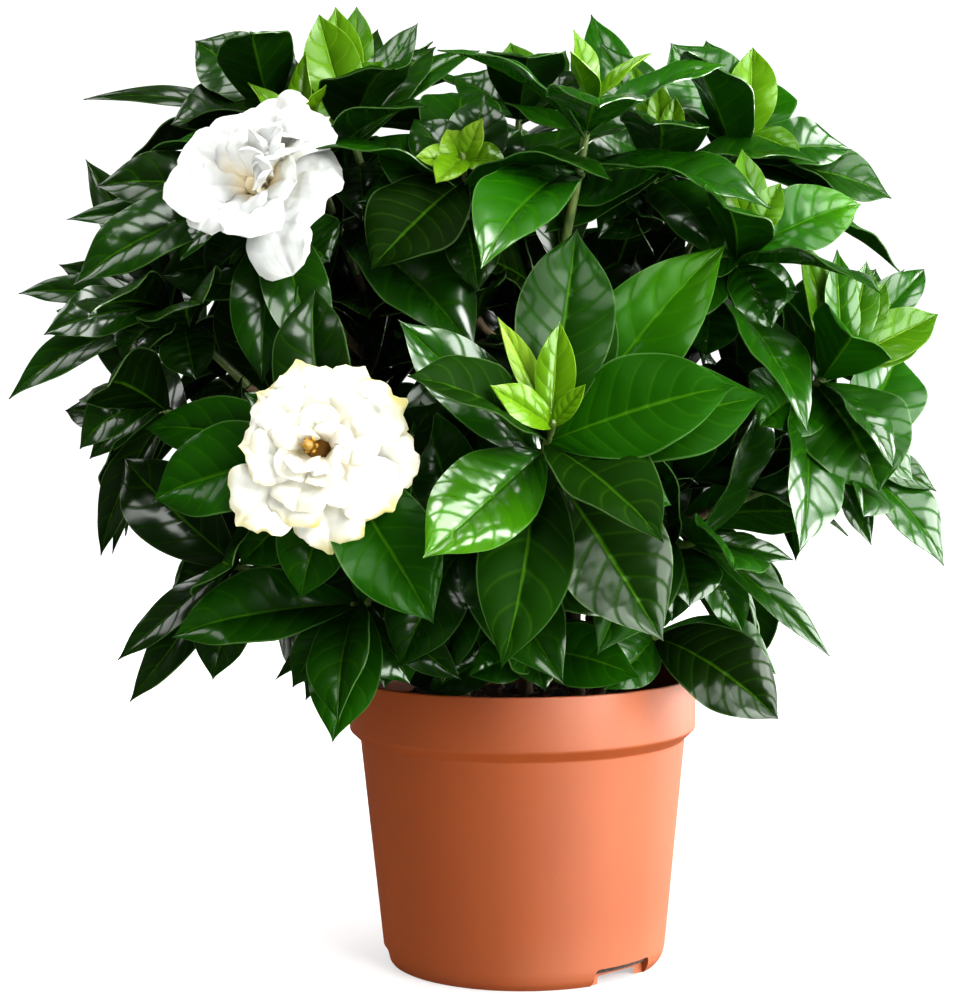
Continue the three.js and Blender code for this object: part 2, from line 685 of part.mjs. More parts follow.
/** Whether a picture place is inside the crown's outer edge. */
function insideCrown({ column, row }) {
  let inside = false;
  CROWN_EDGE.forEach((a, index) => {
    const b = CROWN_EDGE[(index + CROWN_EDGE.length - 1) % CROWN_EDGE.length];
    if ((a.row > row) === (b.row > row)) return;
    const edge = ((b.column - a.column) * (row - a.row)) / (b.row - a.row) + a.column;
    if (column < edge) inside = !inside;
  });
  return inside;
}

/** Whether a ruled leaf stays inside the crown and does not hang in front of a bloom. */
function isWelcome({ base, tip }) {
  const middle = base.clone().lerp(tip, 0.6);
  return [middle, tip].every((point) => {
    const place2d = pictured(point);
    return insideCrown(place2d) && bloomHearts.every(({ heart, column, row }) => point.y > heart.y
      || Math.hypot(place2d.column - column, place2d.row - row) > BLOOM_VEIL);
  });
}

const bloomHearts = BLOOMS.map((bloom) => ({ heart: seen(bloom.heart), ...bloom.heart }))
  .map(({ heart, column, row }) => ({ heart, column, row }));

/** The whorls of a shoot: larger, flatter leaves towards its foot. */
function leafRule(seed, index) {
  const whorl = Math.floor(index / 3);
  return {
    along: 0.9 - 0.26 * whorl - 0.03 * (index % 3),
    lean: 56 + 15 * whorl + 12 * (draw(seed, 1) - 0.5),
    turn: 120 * (index % 3) + 60 * whorl + 36 * draw(seed, 2) + 137.5 * Math.floor(seed / 20),
    droop: 0.1 + 0.12 * whorl,
    length: 62 + 9 * whorl + 12 * draw(seed, 3),
    width: 30 + 3 * whorl + 5 * draw(seed, 4),
    arch: 22 + 26 * draw(seed, 5),
    fold: 10 + 12 * draw(seed, 6),
    thickness: LEAF_THICKNESS,
    outline: PLAIN_LEAF_OUTLINE,
  };
}

/** The young leaves of a growing tip that has none with a picture place. */
function youngRule(seed, index) {
  return {
    along: 0.5 + 0.1 * index,
    lean: 30 + 8 * (index % 2) + 8 * draw(seed, 1),
    turn: 137.5 * index + 40 * draw(seed, 2),
    droop: 0,
    length: 26 + 9 * draw(seed, 3),
    width: 10 + 3 * draw(seed, 4),
    arch: 16,
    fold: 18,
    thickness: YOUNG_THICKNESS,
    outline: YOUNG_OUTLINE,
  };
}

// ---- Blooms -----------------------------------------------------------------------------------

function makeBloom(bloom) {
  const heart = seen(bloom.heart);
  const looks = bloom.looks.clone().normalize();
  const root = heart.clone().addScaledVector(looks, -BLOOM_CORE_SINK);
  const core = new THREE.SphereGeometry(BLOOM_CORE_RADIUS, 6, 4);
  core.translate(root.x, root.y, root.z);
  let solid = solidOf(core);
  // A petal stands on the core's own side, so that the feet of the petals stay apart.
  const footOf = (tip, rise) => {
    const aside = tip.clone().sub(root);
    aside.addScaledVector(looks, -aside.dot(looks)).normalize();
    return root.clone().addScaledVector(aside, PETAL_FOOT).addScaledVector(looks, rise);
  };
  bloom.outer.forEach((petal, index) => {
    const layer = index % 2 ? PETAL_STEP : -PETAL_STEP;
    const tip = seen(petal).addScaledVector(looks, layer);
    solid = solid.add(blade({
      base: footOf(tip, layer), tip, face: looks, width: petal.width, arch: 34, fold: 6,
      thickness: PETAL_THICKNESS, outline: PETAL_OUTLINE,
    }));
  });
  const across = new THREE.Vector3().crossVectors(looks, UP).normalize();
  const other = new THREE.Vector3().crossVectors(looks, across);
  for (const { petals, reach, lift, width, start, rise } of bloom.rings) {
    for (let index = 0; index < petals; index += 1) {
      const angle = (start + (360 * index) / petals) * DEGREE;
      const aside = across.clone().multiplyScalar(Math.cos(angle)).addScaledVector(other, Math.sin(angle));
      const tip = root.clone().addScaledVector(looks, lift + BLOOM_CORE_SINK).addScaledVector(aside, reach);
      const face = looks.clone().multiplyScalar(0.8).addScaledVector(aside, -0.6);
      solid = solid.add(blade({
        base: footOf(tip, rise), tip, face, width, arch: 30, fold: 14, thickness: PETAL_THICKNESS,
        outline: PETAL_OUTLINE,
      }));
    }
  }
  return { solid, heart, looks, root };
}

/** The stigma and stamens in the middle of a bloom, and the room they stand in. */
function makeBloomCentre({ root, looks }) {
  const turn = new THREE.Quaternion().setFromUnitVectors(UP, looks);
  const club = new THREE.LatheGeometry(
    [[0, 0], [1.4, 0], [1.2, 12], [2.2, 14.5], [0, 18.4]].map(([x, y]) => new THREE.Vector2(x, y)), 6);
  club.rotateX(Math.PI / 2);
  const room = new THREE.CylinderGeometry(3.9, 2.4, 30, 6);
  room.rotateX(Math.PI / 2);
  room.translate(0, 0, 15 + BLOOM_CORE_RADIUS - 1 - GAP);
  let centre = solidOf(club.translate(0, 0, BLOOM_CORE_RADIUS - 1).applyQuaternion(turn)
    .translate(root.x, root.y, root.z));
  for (let index = 0; index < 4; index += 1) {
    const angle = index * 90 * DEGREE;
    const base = at(0, 0, BLOOM_CORE_RADIUS + 7);
    const tip = at(3 * Math.cos(angle), 3 * Math.sin(angle), BLOOM_CORE_RADIUS + 15);
    for (const point of [base, tip]) point.applyQuaternion(turn).add(root);
    centre = centre.add(blade({
      base, tip, face: looks, width: 1.4, arch: 10, fold: 0, thickness: 0.9, outline: YOUNG_OUTLINE,
    }));
  }
  return { centre, room: solidOf(room.applyQuaternion(turn).translate(root.x, root.y, root.z)) };
}

// ---- Putting it together ----------------------------------------------------------------------

const plant = new THREE.Group();

function material(color, roughness) {
  return new THREE.MeshStandardMaterial({ color, roughness, metalness: 0 });
}

/** The largest body of a solid, without loose scraps. */
function largest(solid) {
  return solid.decompose().reduce((most, body) => (body.volume() > most.volume() ? body : most));
}

function addPiece(name, solid, color, roughness) {
  const mesh = new THREE.Mesh(geometryOf(largest(solid)), material(color, roughness));
  mesh.name = name;
  plant.add(mesh);
}

const pot = makePot();
const soil = makeSoil();
place('pot', pot);
place('soil', soil);
addPiece('pot', pot, 0xc9693f, 0.55);
addPiece('soil', soil, 0x1d1510, 1);

for (const [name, stem] of Object.entries(STEMS)) {
  const solid = makeStem(name, stem);
  place(`stem_${name}`, solid);
  addPiece(`stem_${name}`, solid, 0x8a6a42, 0.85);
}

for (const shoot of shoots) {
  shoot.node = `shoot_${shoot.name}`;
  shoot.parts = [rod(new THREE.LineCurve3(shoot.root, shoot.tip), TWIG_RADIUS, TWIG_SIDES, 1)];
  place(shoot.node, shoot.parts[0]);
}

for (const bloom of BLOOMS) {
  const { solid, root, looks } = makeBloom(bloom);
  const shoot = shoots.find((one) => one.name === bloom.shoot);
  const sheath = rod(new THREE.LineCurve3(shoot.root, shoot.tip.clone().addScaledVector(shoot.grows, GAP)),
    TWIG_RADIUS + GAP, TWIG_SIDES, 1);
  let petals = solid.subtract(sheath);
  if (bloom.centre) {
    const { centre, room } = makeBloomCentre({ root, looks });
    petals = petals.subtract(room);
    place(`${bloom.name}_centre`, centre);
    addPiece(`${bloom.name}_centre`, centre, 0xc79a1e, 0.7);
  }
  place(bloom.name, petals);
  addPiece(bloom.name, petals, 0xf6f4ea, 0.6);
}

// Young tips next, then the leaves with a place of their own, then those that follow the rule.
for (const [number, shoot] of shoots.entries()) {
  if (!shoot.young && !shoot.ruledYoung) continue;
  const node = `tip_${shoot.name}`;
  const start = shoot.tip.clone().addScaledVector(shoot.grows, GAP);
  const end = shoot.tip.clone().addScaledVector(shoot.grows, 9);
  let solid = rod(new THREE.LineCurve3(start, end), TIP_RADIUS, TWIG_SIDES, 1);
  place(node, solid);
  const count = shoot.young ? shoot.young.length : YOUNG_COUNT;
  for (let index = 0; index < count; index += 1) {
    const base = start.clone().lerp(end, 0.3 + (0.5 * index) / count);
    const blades = shoot.young
      ? aimedBlades(shoot.young[index], base, frontFaceOf(shoot), YOUNG_THICKNESS, YOUNG_OUTLINE, 16)
      : ruledBlades(youngRule(number * 20 + index, index), base, shoot, shoot.grows);
    const found = firstClear(node, blades);
    if (found) solid = solid.add(found);
  }
  addPiece(node, solid, 0x8fb52a, 0.45);
}

for (const shoot of shoots) {
  shoot.leaves.forEach((spec, index) => {
    const base = shoot.tip.clone().lerp(shoot.root, 0.04 + 0.06 * index);
    const outline = spec.width < SLIM_WIDTH ? PLAIN_LEAF_OUTLINE : LEAF_OUTLINE;
    const found = firstClear(shoot.node,
      aimedBlades(spec, base, frontFaceOf(shoot), LEAF_THICKNESS, outline, 14));
    if (found) shoot.parts.push(found);
  });
}

for (const [number, shoot] of shoots.entries()) {
  for (let index = 0; index < shoot.rule; index += 1) {
    const rule = leafRule(number * 20 + index, index);
    const base = shoot.root.clone().lerp(shoot.tip, Math.max(rule.along, 0.12));
    const blades = [...ruledBlades(rule, base, shoot, faceOf(shoot))].filter(isWelcome);
    const found = firstClear(shoot.node, blades);
    if (found) shoot.parts.push(found);
  }
  addPiece(shoot.node, wasm.Manifold.union(shoot.parts), 0x1f4d17, 0.35);
}

export default plant;
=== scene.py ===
"""Looks of the potted gardenia: fine leaves, petals, stems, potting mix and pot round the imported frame.

The plant's places are picture places and millimetres, as it was laid out, and its meshes are metres.
"""

from __future__ import annotations

import logging
from collections.abc import Iterable, Iterator, Sequence
from dataclasses import dataclass, field, replace
from enum import Enum, IntEnum
from itertools import count
from math import cos, floor, hypot, pi, radians, sin

import bpy
import bmesh
from mathutils import Matrix, Vector, noise
from mathutils.kdtree import KDTree


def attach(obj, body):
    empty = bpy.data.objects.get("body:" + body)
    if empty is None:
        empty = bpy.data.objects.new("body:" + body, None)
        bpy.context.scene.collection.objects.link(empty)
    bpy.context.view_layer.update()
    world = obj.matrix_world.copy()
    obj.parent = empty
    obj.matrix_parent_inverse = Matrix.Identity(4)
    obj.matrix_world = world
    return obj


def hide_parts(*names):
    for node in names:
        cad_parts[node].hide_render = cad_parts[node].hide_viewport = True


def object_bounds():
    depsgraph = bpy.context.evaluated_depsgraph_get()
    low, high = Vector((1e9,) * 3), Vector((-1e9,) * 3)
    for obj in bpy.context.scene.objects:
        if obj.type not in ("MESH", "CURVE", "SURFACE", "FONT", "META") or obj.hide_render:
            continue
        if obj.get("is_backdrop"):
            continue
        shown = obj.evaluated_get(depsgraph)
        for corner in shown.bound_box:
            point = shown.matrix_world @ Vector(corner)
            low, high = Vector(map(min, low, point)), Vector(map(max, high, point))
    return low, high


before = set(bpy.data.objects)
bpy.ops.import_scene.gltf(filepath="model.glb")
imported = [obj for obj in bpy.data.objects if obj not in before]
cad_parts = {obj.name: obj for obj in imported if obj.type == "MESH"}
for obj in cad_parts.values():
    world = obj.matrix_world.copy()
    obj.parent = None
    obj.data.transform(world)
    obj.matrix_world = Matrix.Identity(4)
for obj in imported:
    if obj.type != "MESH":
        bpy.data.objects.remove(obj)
CAD_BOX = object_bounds()

Socket = bpy.types.NodeSocket
Mesh = bpy.types.Mesh
Material = bpy.types.Material

LOG = logging.getLogger("potted_gardenia")
MM = 0.001
UP = Vector((0, 0, 1))
FRONT = Vector((0, -1, 0))
BODY = "root"


def new_object(name: str, data: bpy.types.ID) -> bpy.types.Object:
    """Adds an object to the scene.

    Args:
        name: Its name.
        data: Its mesh, lamp or camera.

    Returns:
        The object.
    """
    made = bpy.data.objects.new(name, data)
    bpy.context.scene.collection.objects.link(made)
    return made


def discard(holder: bpy.types.Object) -> None:
    """Removes an object and its mesh.

    Args:
        holder: The object.
    """
    mesh = holder.data
    bpy.data.objects.remove(holder)
    bpy.data.meshes.remove(mesh)


def plain_mesh(holder: bpy.types.Object) -> Mesh:
    """Makes a plain mesh of an object with modifiers.

    Args:
        holder: The object, which is removed with its own mesh.

    Returns:
        The mesh as its modifiers leave it.
    """
    shown = holder.evaluated_get(bpy.context.evaluated_depsgraph_get())
    made = bpy.data.meshes.new_from_object(shown)
    discard(holder)
    return made


# ---- Where things are seen ----------------------------------------------------------------------


@dataclass(frozen=True)
class Sight:
    """The eye that picture places are seen from, in millimetres, degrees and picture points.

    The camera's sensor width and the nearest distance that it sees are its own, in millimetres and metres.
    """

    eye: tuple[float, float, float] = (-17.0, -900.0, 234.6)
    pitch: float = 3.1
    roll: float = 0.5
    focal: float = 2237.0
    width: int = 957
    height: int = 1000
    sensor: float = 36.0
    nearest: float = 0.02

    def axes(self) -> tuple[Vector, Vector, Vector]:
        """Works out the view's directions.

        Returns:
            The ones to the right, up and forward.
        """
        pitch, roll = radians(self.pitch), radians(self.roll)
        forward = Vector((0, cos(pitch), -sin(pitch)))
        level_up = Vector((0, sin(pitch), cos(pitch)))
        across = Vector((1, 0, 0))
        up = level_up * cos(roll) + across * sin(roll)
        right = across * cos(roll) - level_up * sin(roll)
        return right, up, forward

    def seen(self, column: float, row: float, depth: float) -> Vector:
        """The point at y = depth that is seen at a picture place.

        Args:
            column: The picture column, from the left.
            row: The picture row, from the top.
            depth: The y of the point, in millimetres.

        Returns:
            The point in millimetres.
        """
        right, up, forward = self.axes()
        ray = forward * self.focal + right * (column - self.width / 2) + up * (self.height / 2 - row)
        eye = Vector(self.eye)
        return eye + ray * ((depth - eye.y) / ray.y)

    def add_camera(self) -> None:
        """Makes the camera that sees the picture."""
        data = bpy.data.cameras.new("camera")
        data.sensor_width = self.sensor
        data.lens = self.focal / self.height * self.sensor
        data.clip_start = self.nearest
        made = new_object("camera", data)
        right, up, forward = self.axes()
        turn = Matrix((right, up, -forward)).transposed().to_4x4()
        made.matrix_world = Matrix.Translation(Vector(self.eye) * MM) @ turn
        bpy.context.scene.camera = made


SIGHT = Sight()


@dataclass(frozen=True)
class Spot:
    """A picture place at a depth in millimetres."""

    column: float
    row: float
    depth: float

    def point(self, shift: float = 0.0) -> Vector:
        """The point in millimetres, moved in depth by shift."""
        return SIGHT.seen(self.column, self.row, self.depth + shift)


@dataclass(frozen=True)
class Leaf(Spot):
    """A leaf or petal whose tip is at a picture place, with its width in millimetres.

    Its midrib bends by arch degrees. It is glossy where dull is 0 and matte where it is 1, and painted
    lighter than its shoot by light: partly its own tone, partly painted light and shade for how it is lit.
    """

    width: float
    arch: float = 32.0
    dull: float = 0.6
    light: float = 0.0


# ---- How the plant is laid out ------------------------------------------------------------------


class Trunk(Enum):
    """The woody stems, by the name of their node."""

    LEFT = "left"
    MIDDLE = "middle"
    RIGHT = "right"
    OUTER = "outer"


SOIL_LEVEL = 103.0
STEM_DEPTH = 42.0
GAP = 0.3
HEART = Vector((-12, 8, 158))
TRUNK_POINTS = {
    Trunk.LEFT: (Vector((-24, 6, SOIL_LEVEL)), Vector((-36, 4, 160)), Vector((-58, 0, 236))),
    Trunk.MIDDLE: (Vector((2, 22, SOIL_LEVEL)), Vector((0, 32, 160)), Vector((-6, 36, 250))),
    Trunk.RIGHT: (Vector((22, -14, SOIL_LEVEL)), Vector((20, -22, 150)), Vector((14, -34, 232))),
    Trunk.OUTER: (Vector((31, 2, SOIL_LEVEL)), Vector((46, 2, 150)), Vector((66, 0, 226))),
}
LOWEST_BRANCH = 126.0
BRANCH_SLOPE = 0.6
UPWARD_BEND = 0.12  # of a shoot, against its way out from the heart
RULED_FACE_UP = 0.5  # of a ruled leaf's face, against its shoot's way
PLACED_FACE = (0.35, 0.4, 0.9)  # of its shoot's way, up and front in the face of a leaf with a place


class Pick(IntEnum):
    """Which of a seed's repeatable numbers sets what."""

    REACH = LEAN = 1
    HEIGHT = TURN = OLD_LENGTH = 2
    LENGTH = 3
    WIDTH = 4
    ARCH = 5
    FOLD = 6
    PLEAT = 11
    SWAY = 12
    TWIST = 13
    TONE = 14
    DULL = 15


class FirstSeed(IntEnum):
    """Where the seeds of each kind of shoot or blade start; ruled leaves start at 0."""

    FAR_SHOOT = 100
    PLACED = 1000
    YOUNG = 2000
    PETAL = 3000
    RINGED = 3041
    FURLED = 3100
    SEPAL = 3200
    INNER = 4000
    SMALL = 5000


SHOOT_SEEDS = 20
LEVEL_SEEDS = 10


@dataclass
class Shoot:
    """A leafy shoot: the stem that carries it, its tip, and the leaves that have a place of their own.

    It has rule more leaves, placed by rule, which are duller by matte and painted darker by it, as painted
    shade. The small leaves fill gaps inside the crown and are in the look alone.
    """

    name: str
    trunk: Trunk
    tip_at: Spot | Vector
    twig: float
    rule: int
    leaves: tuple[Leaf, ...] = ()
    young: tuple[Leaf, ...] = ()
    small: tuple[Leaf, ...] = ()
    ruled_young: bool = False
    matte: float = 0.0
    number: int = 0
    tip: Vector = field(init=False)
    grows: Vector = field(init=False)
    root: Vector = field(init=False)

    def __post_init__(self) -> None:
        """Works out the tip, the way the shoot grows and the twig's foot."""
        self.tip = self.tip_at.point() if isinstance(self.tip_at, Spot) else self.tip_at.copy()
        away = (self.tip - HEART).normalized()
        self.grows = Vector((away.x, away.y, away.z + UPWARD_BEND)).normalized()
        self.root = self.tip - self.grows * self.twig

    @property
    def face(self) -> Vector:
        """The way its ruled leaves look: along the shoot and towards the light."""
        return (self.grows + UP * RULED_FACE_UP).normalized()

    @property
    def front_face(self) -> Vector:
        """The way its leaves with a picture place look: towards the front as well."""
        along, up, front = PLACED_FACE
        return (self.grows * along + UP * up + FRONT * front).normalized()


SHOOTS = (
    Shoot("front", Trunk.RIGHT, Spot(550, 434, -122), 62, 4, leaves=(
        Leaf(577, 228, -104, 35, 20, 0.9, -0.1), Leaf(735, 385, -133, 40, 24, 1.0, 0.05),
        Leaf(766, 394, -112, 38, 24, 1.0, 0.0), Leaf(423, 557, -141, 36, 22, 0.0, 0.9),
        Leaf(664, 641, -124, 43, 24, 0.84, -0.3), Leaf(398, 319, -110, 27, 32, 0.0),
        Leaf(672, 505, -96, 30, 32, 0.9, 0.1), Leaf(490, 604, -100, 24, 32, 0.8, -0.3),
        Leaf(727, 243, -92, 38, 20, 0.9, 0.6),
    ), young=(
        Leaf(497, 317, -120, 9, 10, 0.3, 0.6), Leaf(560, 321, -130, 14, 20, 0.3, 0.25),
        Leaf(489, 386, -139, 13, 20, 0.3, 0.5), Leaf(586, 384, -138, 7, 10, 0.6, 0.0),
    ), matte=1.0),
    Shoot("upper_mid", Trunk.RIGHT, Spot(464, 176, -76), 50, 5, leaves=(
        Leaf(370, 268, -98, 38, 30, 1.0, -0.7), Leaf(413, 118, -66, 22), Leaf(484, 94, -60, 24),
        Leaf(521, 128, -58, 22), Leaf(356, 202, -78, 28, 32, 0.8), Leaf(478, 292, -92, 20, 32, 0.8),
    ), young=(
        Leaf(415, 158, -84, 12, 32, 0.3, 0.5), Leaf(446, 130, -78, 13, 32, 0.3, 0.6),
        Leaf(483, 118, -84, 10, 12, 0.3, 0.5), Leaf(507, 164, -84, 13, 32, 0.3, 0.3),
        Leaf(436, 184, -92, 12, 32, 0.3, 0.5),
    ), small=(Leaf(372, 136, -70, 24),)),
    Shoot("top_right", Trunk.RIGHT, Spot(662, 163, -46), 52, 4, leaves=(
        Leaf(513, 190, -64, 33, 30, 0.3), Leaf(496, 240, -72, 26, 30, 0.9, -0.1),
        Leaf(718, 260, -80, 28, 40, 0.7), Leaf(579, 122, -42, 20), Leaf(601, 42, -30, 34, 24),
        Leaf(591, 13, -14, 24, 34),
    ), young=(
        Leaf(657, 79, -50, 11, 14), Leaf(629, 62, -42, 10, 14), Leaf(675, 96, -52, 9, 14),
    ), small=(Leaf(598, 238, -56, 22), Leaf(640, 214, -60, 18))),
    Shoot("crest_right", Trunk.OUTER, Spot(744, 146, -24), 50, 4, leaves=(
        Leaf(671, 42, -18, 32, 20), Leaf(852, 148, -20, 28, 34, 0.1), Leaf(893, 197, -42, 32, 34, 0.8),
        Leaf(706, 39, 2, 26, 30),
    ), young=(
        Leaf(752, 48, -24, 20, 24), Leaf(800, 158, -34, 12),
    )),
    Shoot("upper_right", Trunk.OUTER, Spot(746, 248, -70), 50, 5, leaves=(
        Leaf(862, 203, -68, 26, 26, 0.8, 0.5), Leaf(686, 262, -74, 18), Leaf(772, 330, -78, 22),
        Leaf(655, 312, -84, 24),
    ), young=(
        Leaf(724, 162, -74, 14, 14), Leaf(741, 150, -68, 14, 14), Leaf(781, 183, -72, 12, 14),
        Leaf(706, 208, -76, 10),
    ), small=(Leaf(800, 292, -60, 20), Leaf(706, 356, -66, 22))),
    Shoot("right", Trunk.OUTER, Spot(832, 372, -52), 52, 4, leaves=(
        Leaf(925, 268, -28, 14, 60), Leaf(905, 268, -36, 13), Leaf(880, 493, -64, 46, 34, 0.9),
        Leaf(915, 482, -52, 26, 30), Leaf(790, 371, -70, 12), Leaf(760, 425, -74, 34, 32, 0.9),
    ), young=(
        Leaf(801, 239, -58, 17, 20, 0.6, -0.3), Leaf(836, 250, -60, 16, 26, 0.3, -0.3),
        Leaf(866, 262, -50, 15, 30, 0.3, -0.4), Leaf(886, 281, -46, 14, 20, 0.6, -0.2),
        Leaf(937, 316, -40, 21, 16), Leaf(921, 346, -46, 14, 16),
    )),
    Shoot("right_low", Trunk.OUTER, Spot(848, 452, -10), 46, 5, leaves=(
        Leaf(937, 491, -18, 15, 44), Leaf(945, 566, -28, 24, 54), Leaf(872, 545, -22, 12, 20),
        Leaf(905, 420, 0, 24),
    )),
    Shoot("lower_right", Trunk.RIGHT, Spot(704, 540, -44), 44, 4, leaves=(
        Leaf(831, 657, -50, 12, 24), Leaf(794, 560, -36, 9, 40), Leaf(771, 550, -30, 8, 30),
        Leaf(744, 634, -38, 17, 50), Leaf(690, 606, -60, 28),
    ), small=(Leaf(672, 622, -46, 18),)),
    Shoot("rim_right", Trunk.OUTER, Spot(660, 640, -44), 30, 2, leaves=(
        Leaf(780, 720, -66, 32, 84, 0.8, -0.5), Leaf(604, 690, -64, 20, 44), Leaf(735, 668, -20, 26, 50),
        Leaf(640, 606, -40, 22),
    )),
    Shoot("soil_front", Trunk.RIGHT, Spot(530, 650, -48), 26, 2, leaves=(
        Leaf(468, 676, -64, 18, 40), Leaf(562, 603, -60, 17, 24), Leaf(545, 690, -68, 20, 50),
        Leaf(470, 622, -56, 22, 30), Leaf(595, 655, -58, 18, 40),
    ), small=(Leaf(392, 676, -30, 26, 24), Leaf(424, 698, -50, 18, 30), Leaf(640, 672, -44, 22, 30))),
    Shoot("crest_mid", Trunk.MIDDLE, Spot(520, 106, 0), 48, 6, leaves=(
        Leaf(590, 76, 6, 16, 26), Leaf(452, 77, 8, 22, 24), Leaf(566, 50, 22, 16),
    ), young=(
        Leaf(510, 43, -4, 20, 24), Leaf(546, 70, 4, 14, 20),
    )),
    Shoot("crest_left", Trunk.LEFT, Spot(350, 128, -38), 50, 4, leaves=(
        Leaf(418, 22, -28, 15, 24), Leaf(436, 46, -16, 22, 24), Leaf(480, 50, 0, 12, 50),
        Leaf(378, 28, -20, 16), Leaf(362, 222, -64, 22),
    ), young=(
        Leaf(319, 15, -40, 22, 16, 0.4, 0.1), Leaf(336, 8, -30, 18, 16, 0.4, 0.1), Leaf(357, 8, -26, 16, 16),
        Leaf(288, 88, -48, 16, 20), Leaf(384, 62, -40, 14, 14),
    )),
    Shoot("far_left_top", Trunk.LEFT, Spot(264, 100, -18), 50, 4, leaves=(
        Leaf(195, 40, -20, 30, 26), Leaf(170, 124, -34, 27, 26), Leaf(83, 99, -10, 10, 40),
        Leaf(250, 30, 4, 28), Leaf(292, 52, -10, 20),
    )),
    Shoot("bloom_upper", Trunk.LEFT, Spot(262, 190, -72), 48, 3, leaves=(
        Leaf(72, 285, -84, 30, 30), Leaf(94, 186, -58, 26, 34), Leaf(66, 219, -46, 14, 26),
        Leaf(322, 373, -100, 24, 40), Leaf(262, 384, -104, 26, 40), Leaf(236, 290, -98, 22, 30),
        Leaf(330, 262, -92, 30, 30),
    ), small=(Leaf(204, 282, -66, 26, 30), Leaf(236, 306, -74, 24, 30), Leaf(158, 276, -56, 30, 30))),
    Shoot("left", Trunk.LEFT, Spot(158, 300, -52), 48, 4, leaves=(
        Leaf(18, 293, -42, 14, 30), Leaf(43, 334, -56, 22, 40, 0.2), Leaf(122, 361, -72, 24, 44, 0.2),
        Leaf(8, 399, -48, 18, 60), Leaf(58, 264, -38, 15), Leaf(85, 158, -30, 18),
    ), small=(Leaf(196, 380, -60, 22),)),
    Shoot("left_low", Trunk.LEFT, Spot(152, 402, -36), 46, 4, leaves=(
        Leaf(79, 449, -42, 20, 80), Leaf(89, 459, -30, 12, 40), Leaf(100, 556, -36, 18, 40),
        Leaf(112, 554, -20, 9, 20), Leaf(64, 410, -20, 22, 30),
    )),
    Shoot("bloom_lower", Trunk.LEFT, Spot(322, 448, -112), 52, 3, leaves=(
        Leaf(151, 499, -108, 34, 26, 0.8), Leaf(143, 428, -96, 24, 26, 0.8),
        Leaf(434, 624, -120, 36, 30, 0.95, 0.25), Leaf(244, 392, -104, 22), Leaf(406, 420, -108, 26),
        Leaf(300, 600, -110, 28, 40, 0.8),
    ), small=(Leaf(238, 566, -84, 26, 30),)),
    Shoot("lower_left", Trunk.LEFT, Spot(226, 566, -62), 44, 4, leaves=(
        Leaf(117, 660, -68, 14, 20), Leaf(129, 702, -62, 19, 20), Leaf(212, 680, -74, 25, 30),
        Leaf(262, 622, -80, 24, 30),
    )),
    Shoot("hanging", Trunk.LEFT, Spot(352, 604, -84), 40, 3, leaves=(
        Leaf(292, 688, -86, 16, 26), Leaf(305, 701, -80, 12, 30), Leaf(332, 742, -96, 27, 30, 0.9, 0.35),
        Leaf(275, 680, -66, 7, 20), Leaf(462, 680, -88, 16, 30),
    ), small=(Leaf(410, 684, -82, 26, 30), Leaf(430, 640, -60, 24, 30), Leaf(384, 688, -84, 26, 24))),
    Shoot("lower_mid", Trunk.RIGHT, Spot(462, 540, -76), 44, 6, leaves=(
        Leaf(420, 400, -86, 26, 30), Leaf(400, 668, -92, 30, 40),
    )),
    Shoot("inner_right", Trunk.OUTER, Spot(700, 470, -34), 44, 8, leaves=()),
)


@dataclass(frozen=True)
class FarLevel:
    """A level of shoots at equal turns round the far side of the crown, in millimetres and degrees."""

    count: int
    height: float
    reach: float
    first: float
    turn: float
    young: bool
    matte: float


FAR_LEVELS = (
    FarLevel(4, 322, 84, 62, 78, True, -0.6),
    FarLevel(5, 252, 128, 18, 36, True, 0.0),
    FarLevel(4, 176, 122, 34, 37, False, 0.0),
)
FAR_TWIG = 50.0
FAR_RULE_LEAVES = 8
FAR_SCATTER = 16.0  # of the tips' heights on a level, from the lowest to the highest
FAR_LEFT, FAR_RIGHT = -50, 60  # where the outer trunks carry the far shoots, and the middle one between
YOUNG_COUNT = 3
CROWN_AXIS = Vector((-14, -4, 0))


@dataclass(frozen=True)
class Crown:
    """The room inside the crown, an egg that leans with it; millimetres."""

    centre: Vector
    reach: Vector

    def holds(self, point: Vector) -> bool:
        """Whether a point is inside."""
        away = point - self.centre
        return sum((away[axis] / self.reach[axis]) ** 2 for axis in range(3)) < 1


CROWN_INSIDE = Crown(Vector((-12, 6, 240)), Vector((138, 112, 112)))


@dataclass(frozen=True)
class BladeForm:
    """How the leaves or petals of a kind are shaped.

    Heights are shares of the half width, the wall and the stalk's half width are millimetres, and pairs is
    how many pairs of side veins there are.
    """

    rows: int
    columns: int
    peak: float
    fullness: float
    point: float
    crown: float
    pairs: float
    pleat: float
    wave: float
    waves: float
    crumple: float
    roll: float
    wall: float
    stalk: float
    ruffle: float = 0.0


LEAF_FORM = BladeForm(rows=73, columns=11, peak=1.15, fullness=0.78, point=0.55, crown=0.05, pairs=9,
                      pleat=0.03, wave=0.09, waves=2.2, crumple=0.05, roll=0.05, wall=0.5, stalk=1.0)
PLAIN_FORM = BladeForm(rows=43, columns=7, peak=1.12, fullness=0.82, point=0.55, crown=0.05, pairs=7,
                       pleat=0.038, wave=0.1, waves=2.0, crumple=0.06, roll=0.06, wall=0.5, stalk=0.9)
INNER_FORM = BladeForm(rows=13, columns=5, peak=1.12, fullness=0.82, point=0.55, crown=0.05, pairs=0,
                       pleat=0.0, wave=0.12, waves=2.0, crumple=0.1, roll=0.06, wall=0.5, stalk=0.9)
YOUNG_FORM = BladeForm(rows=21, columns=7, peak=1.02, fullness=0.8, point=0.4, crown=0.1, pairs=6,
                       pleat=0.05, wave=0.12, waves=1.6, crumple=0.08, roll=-0.1, wall=0.5, stalk=0.7)
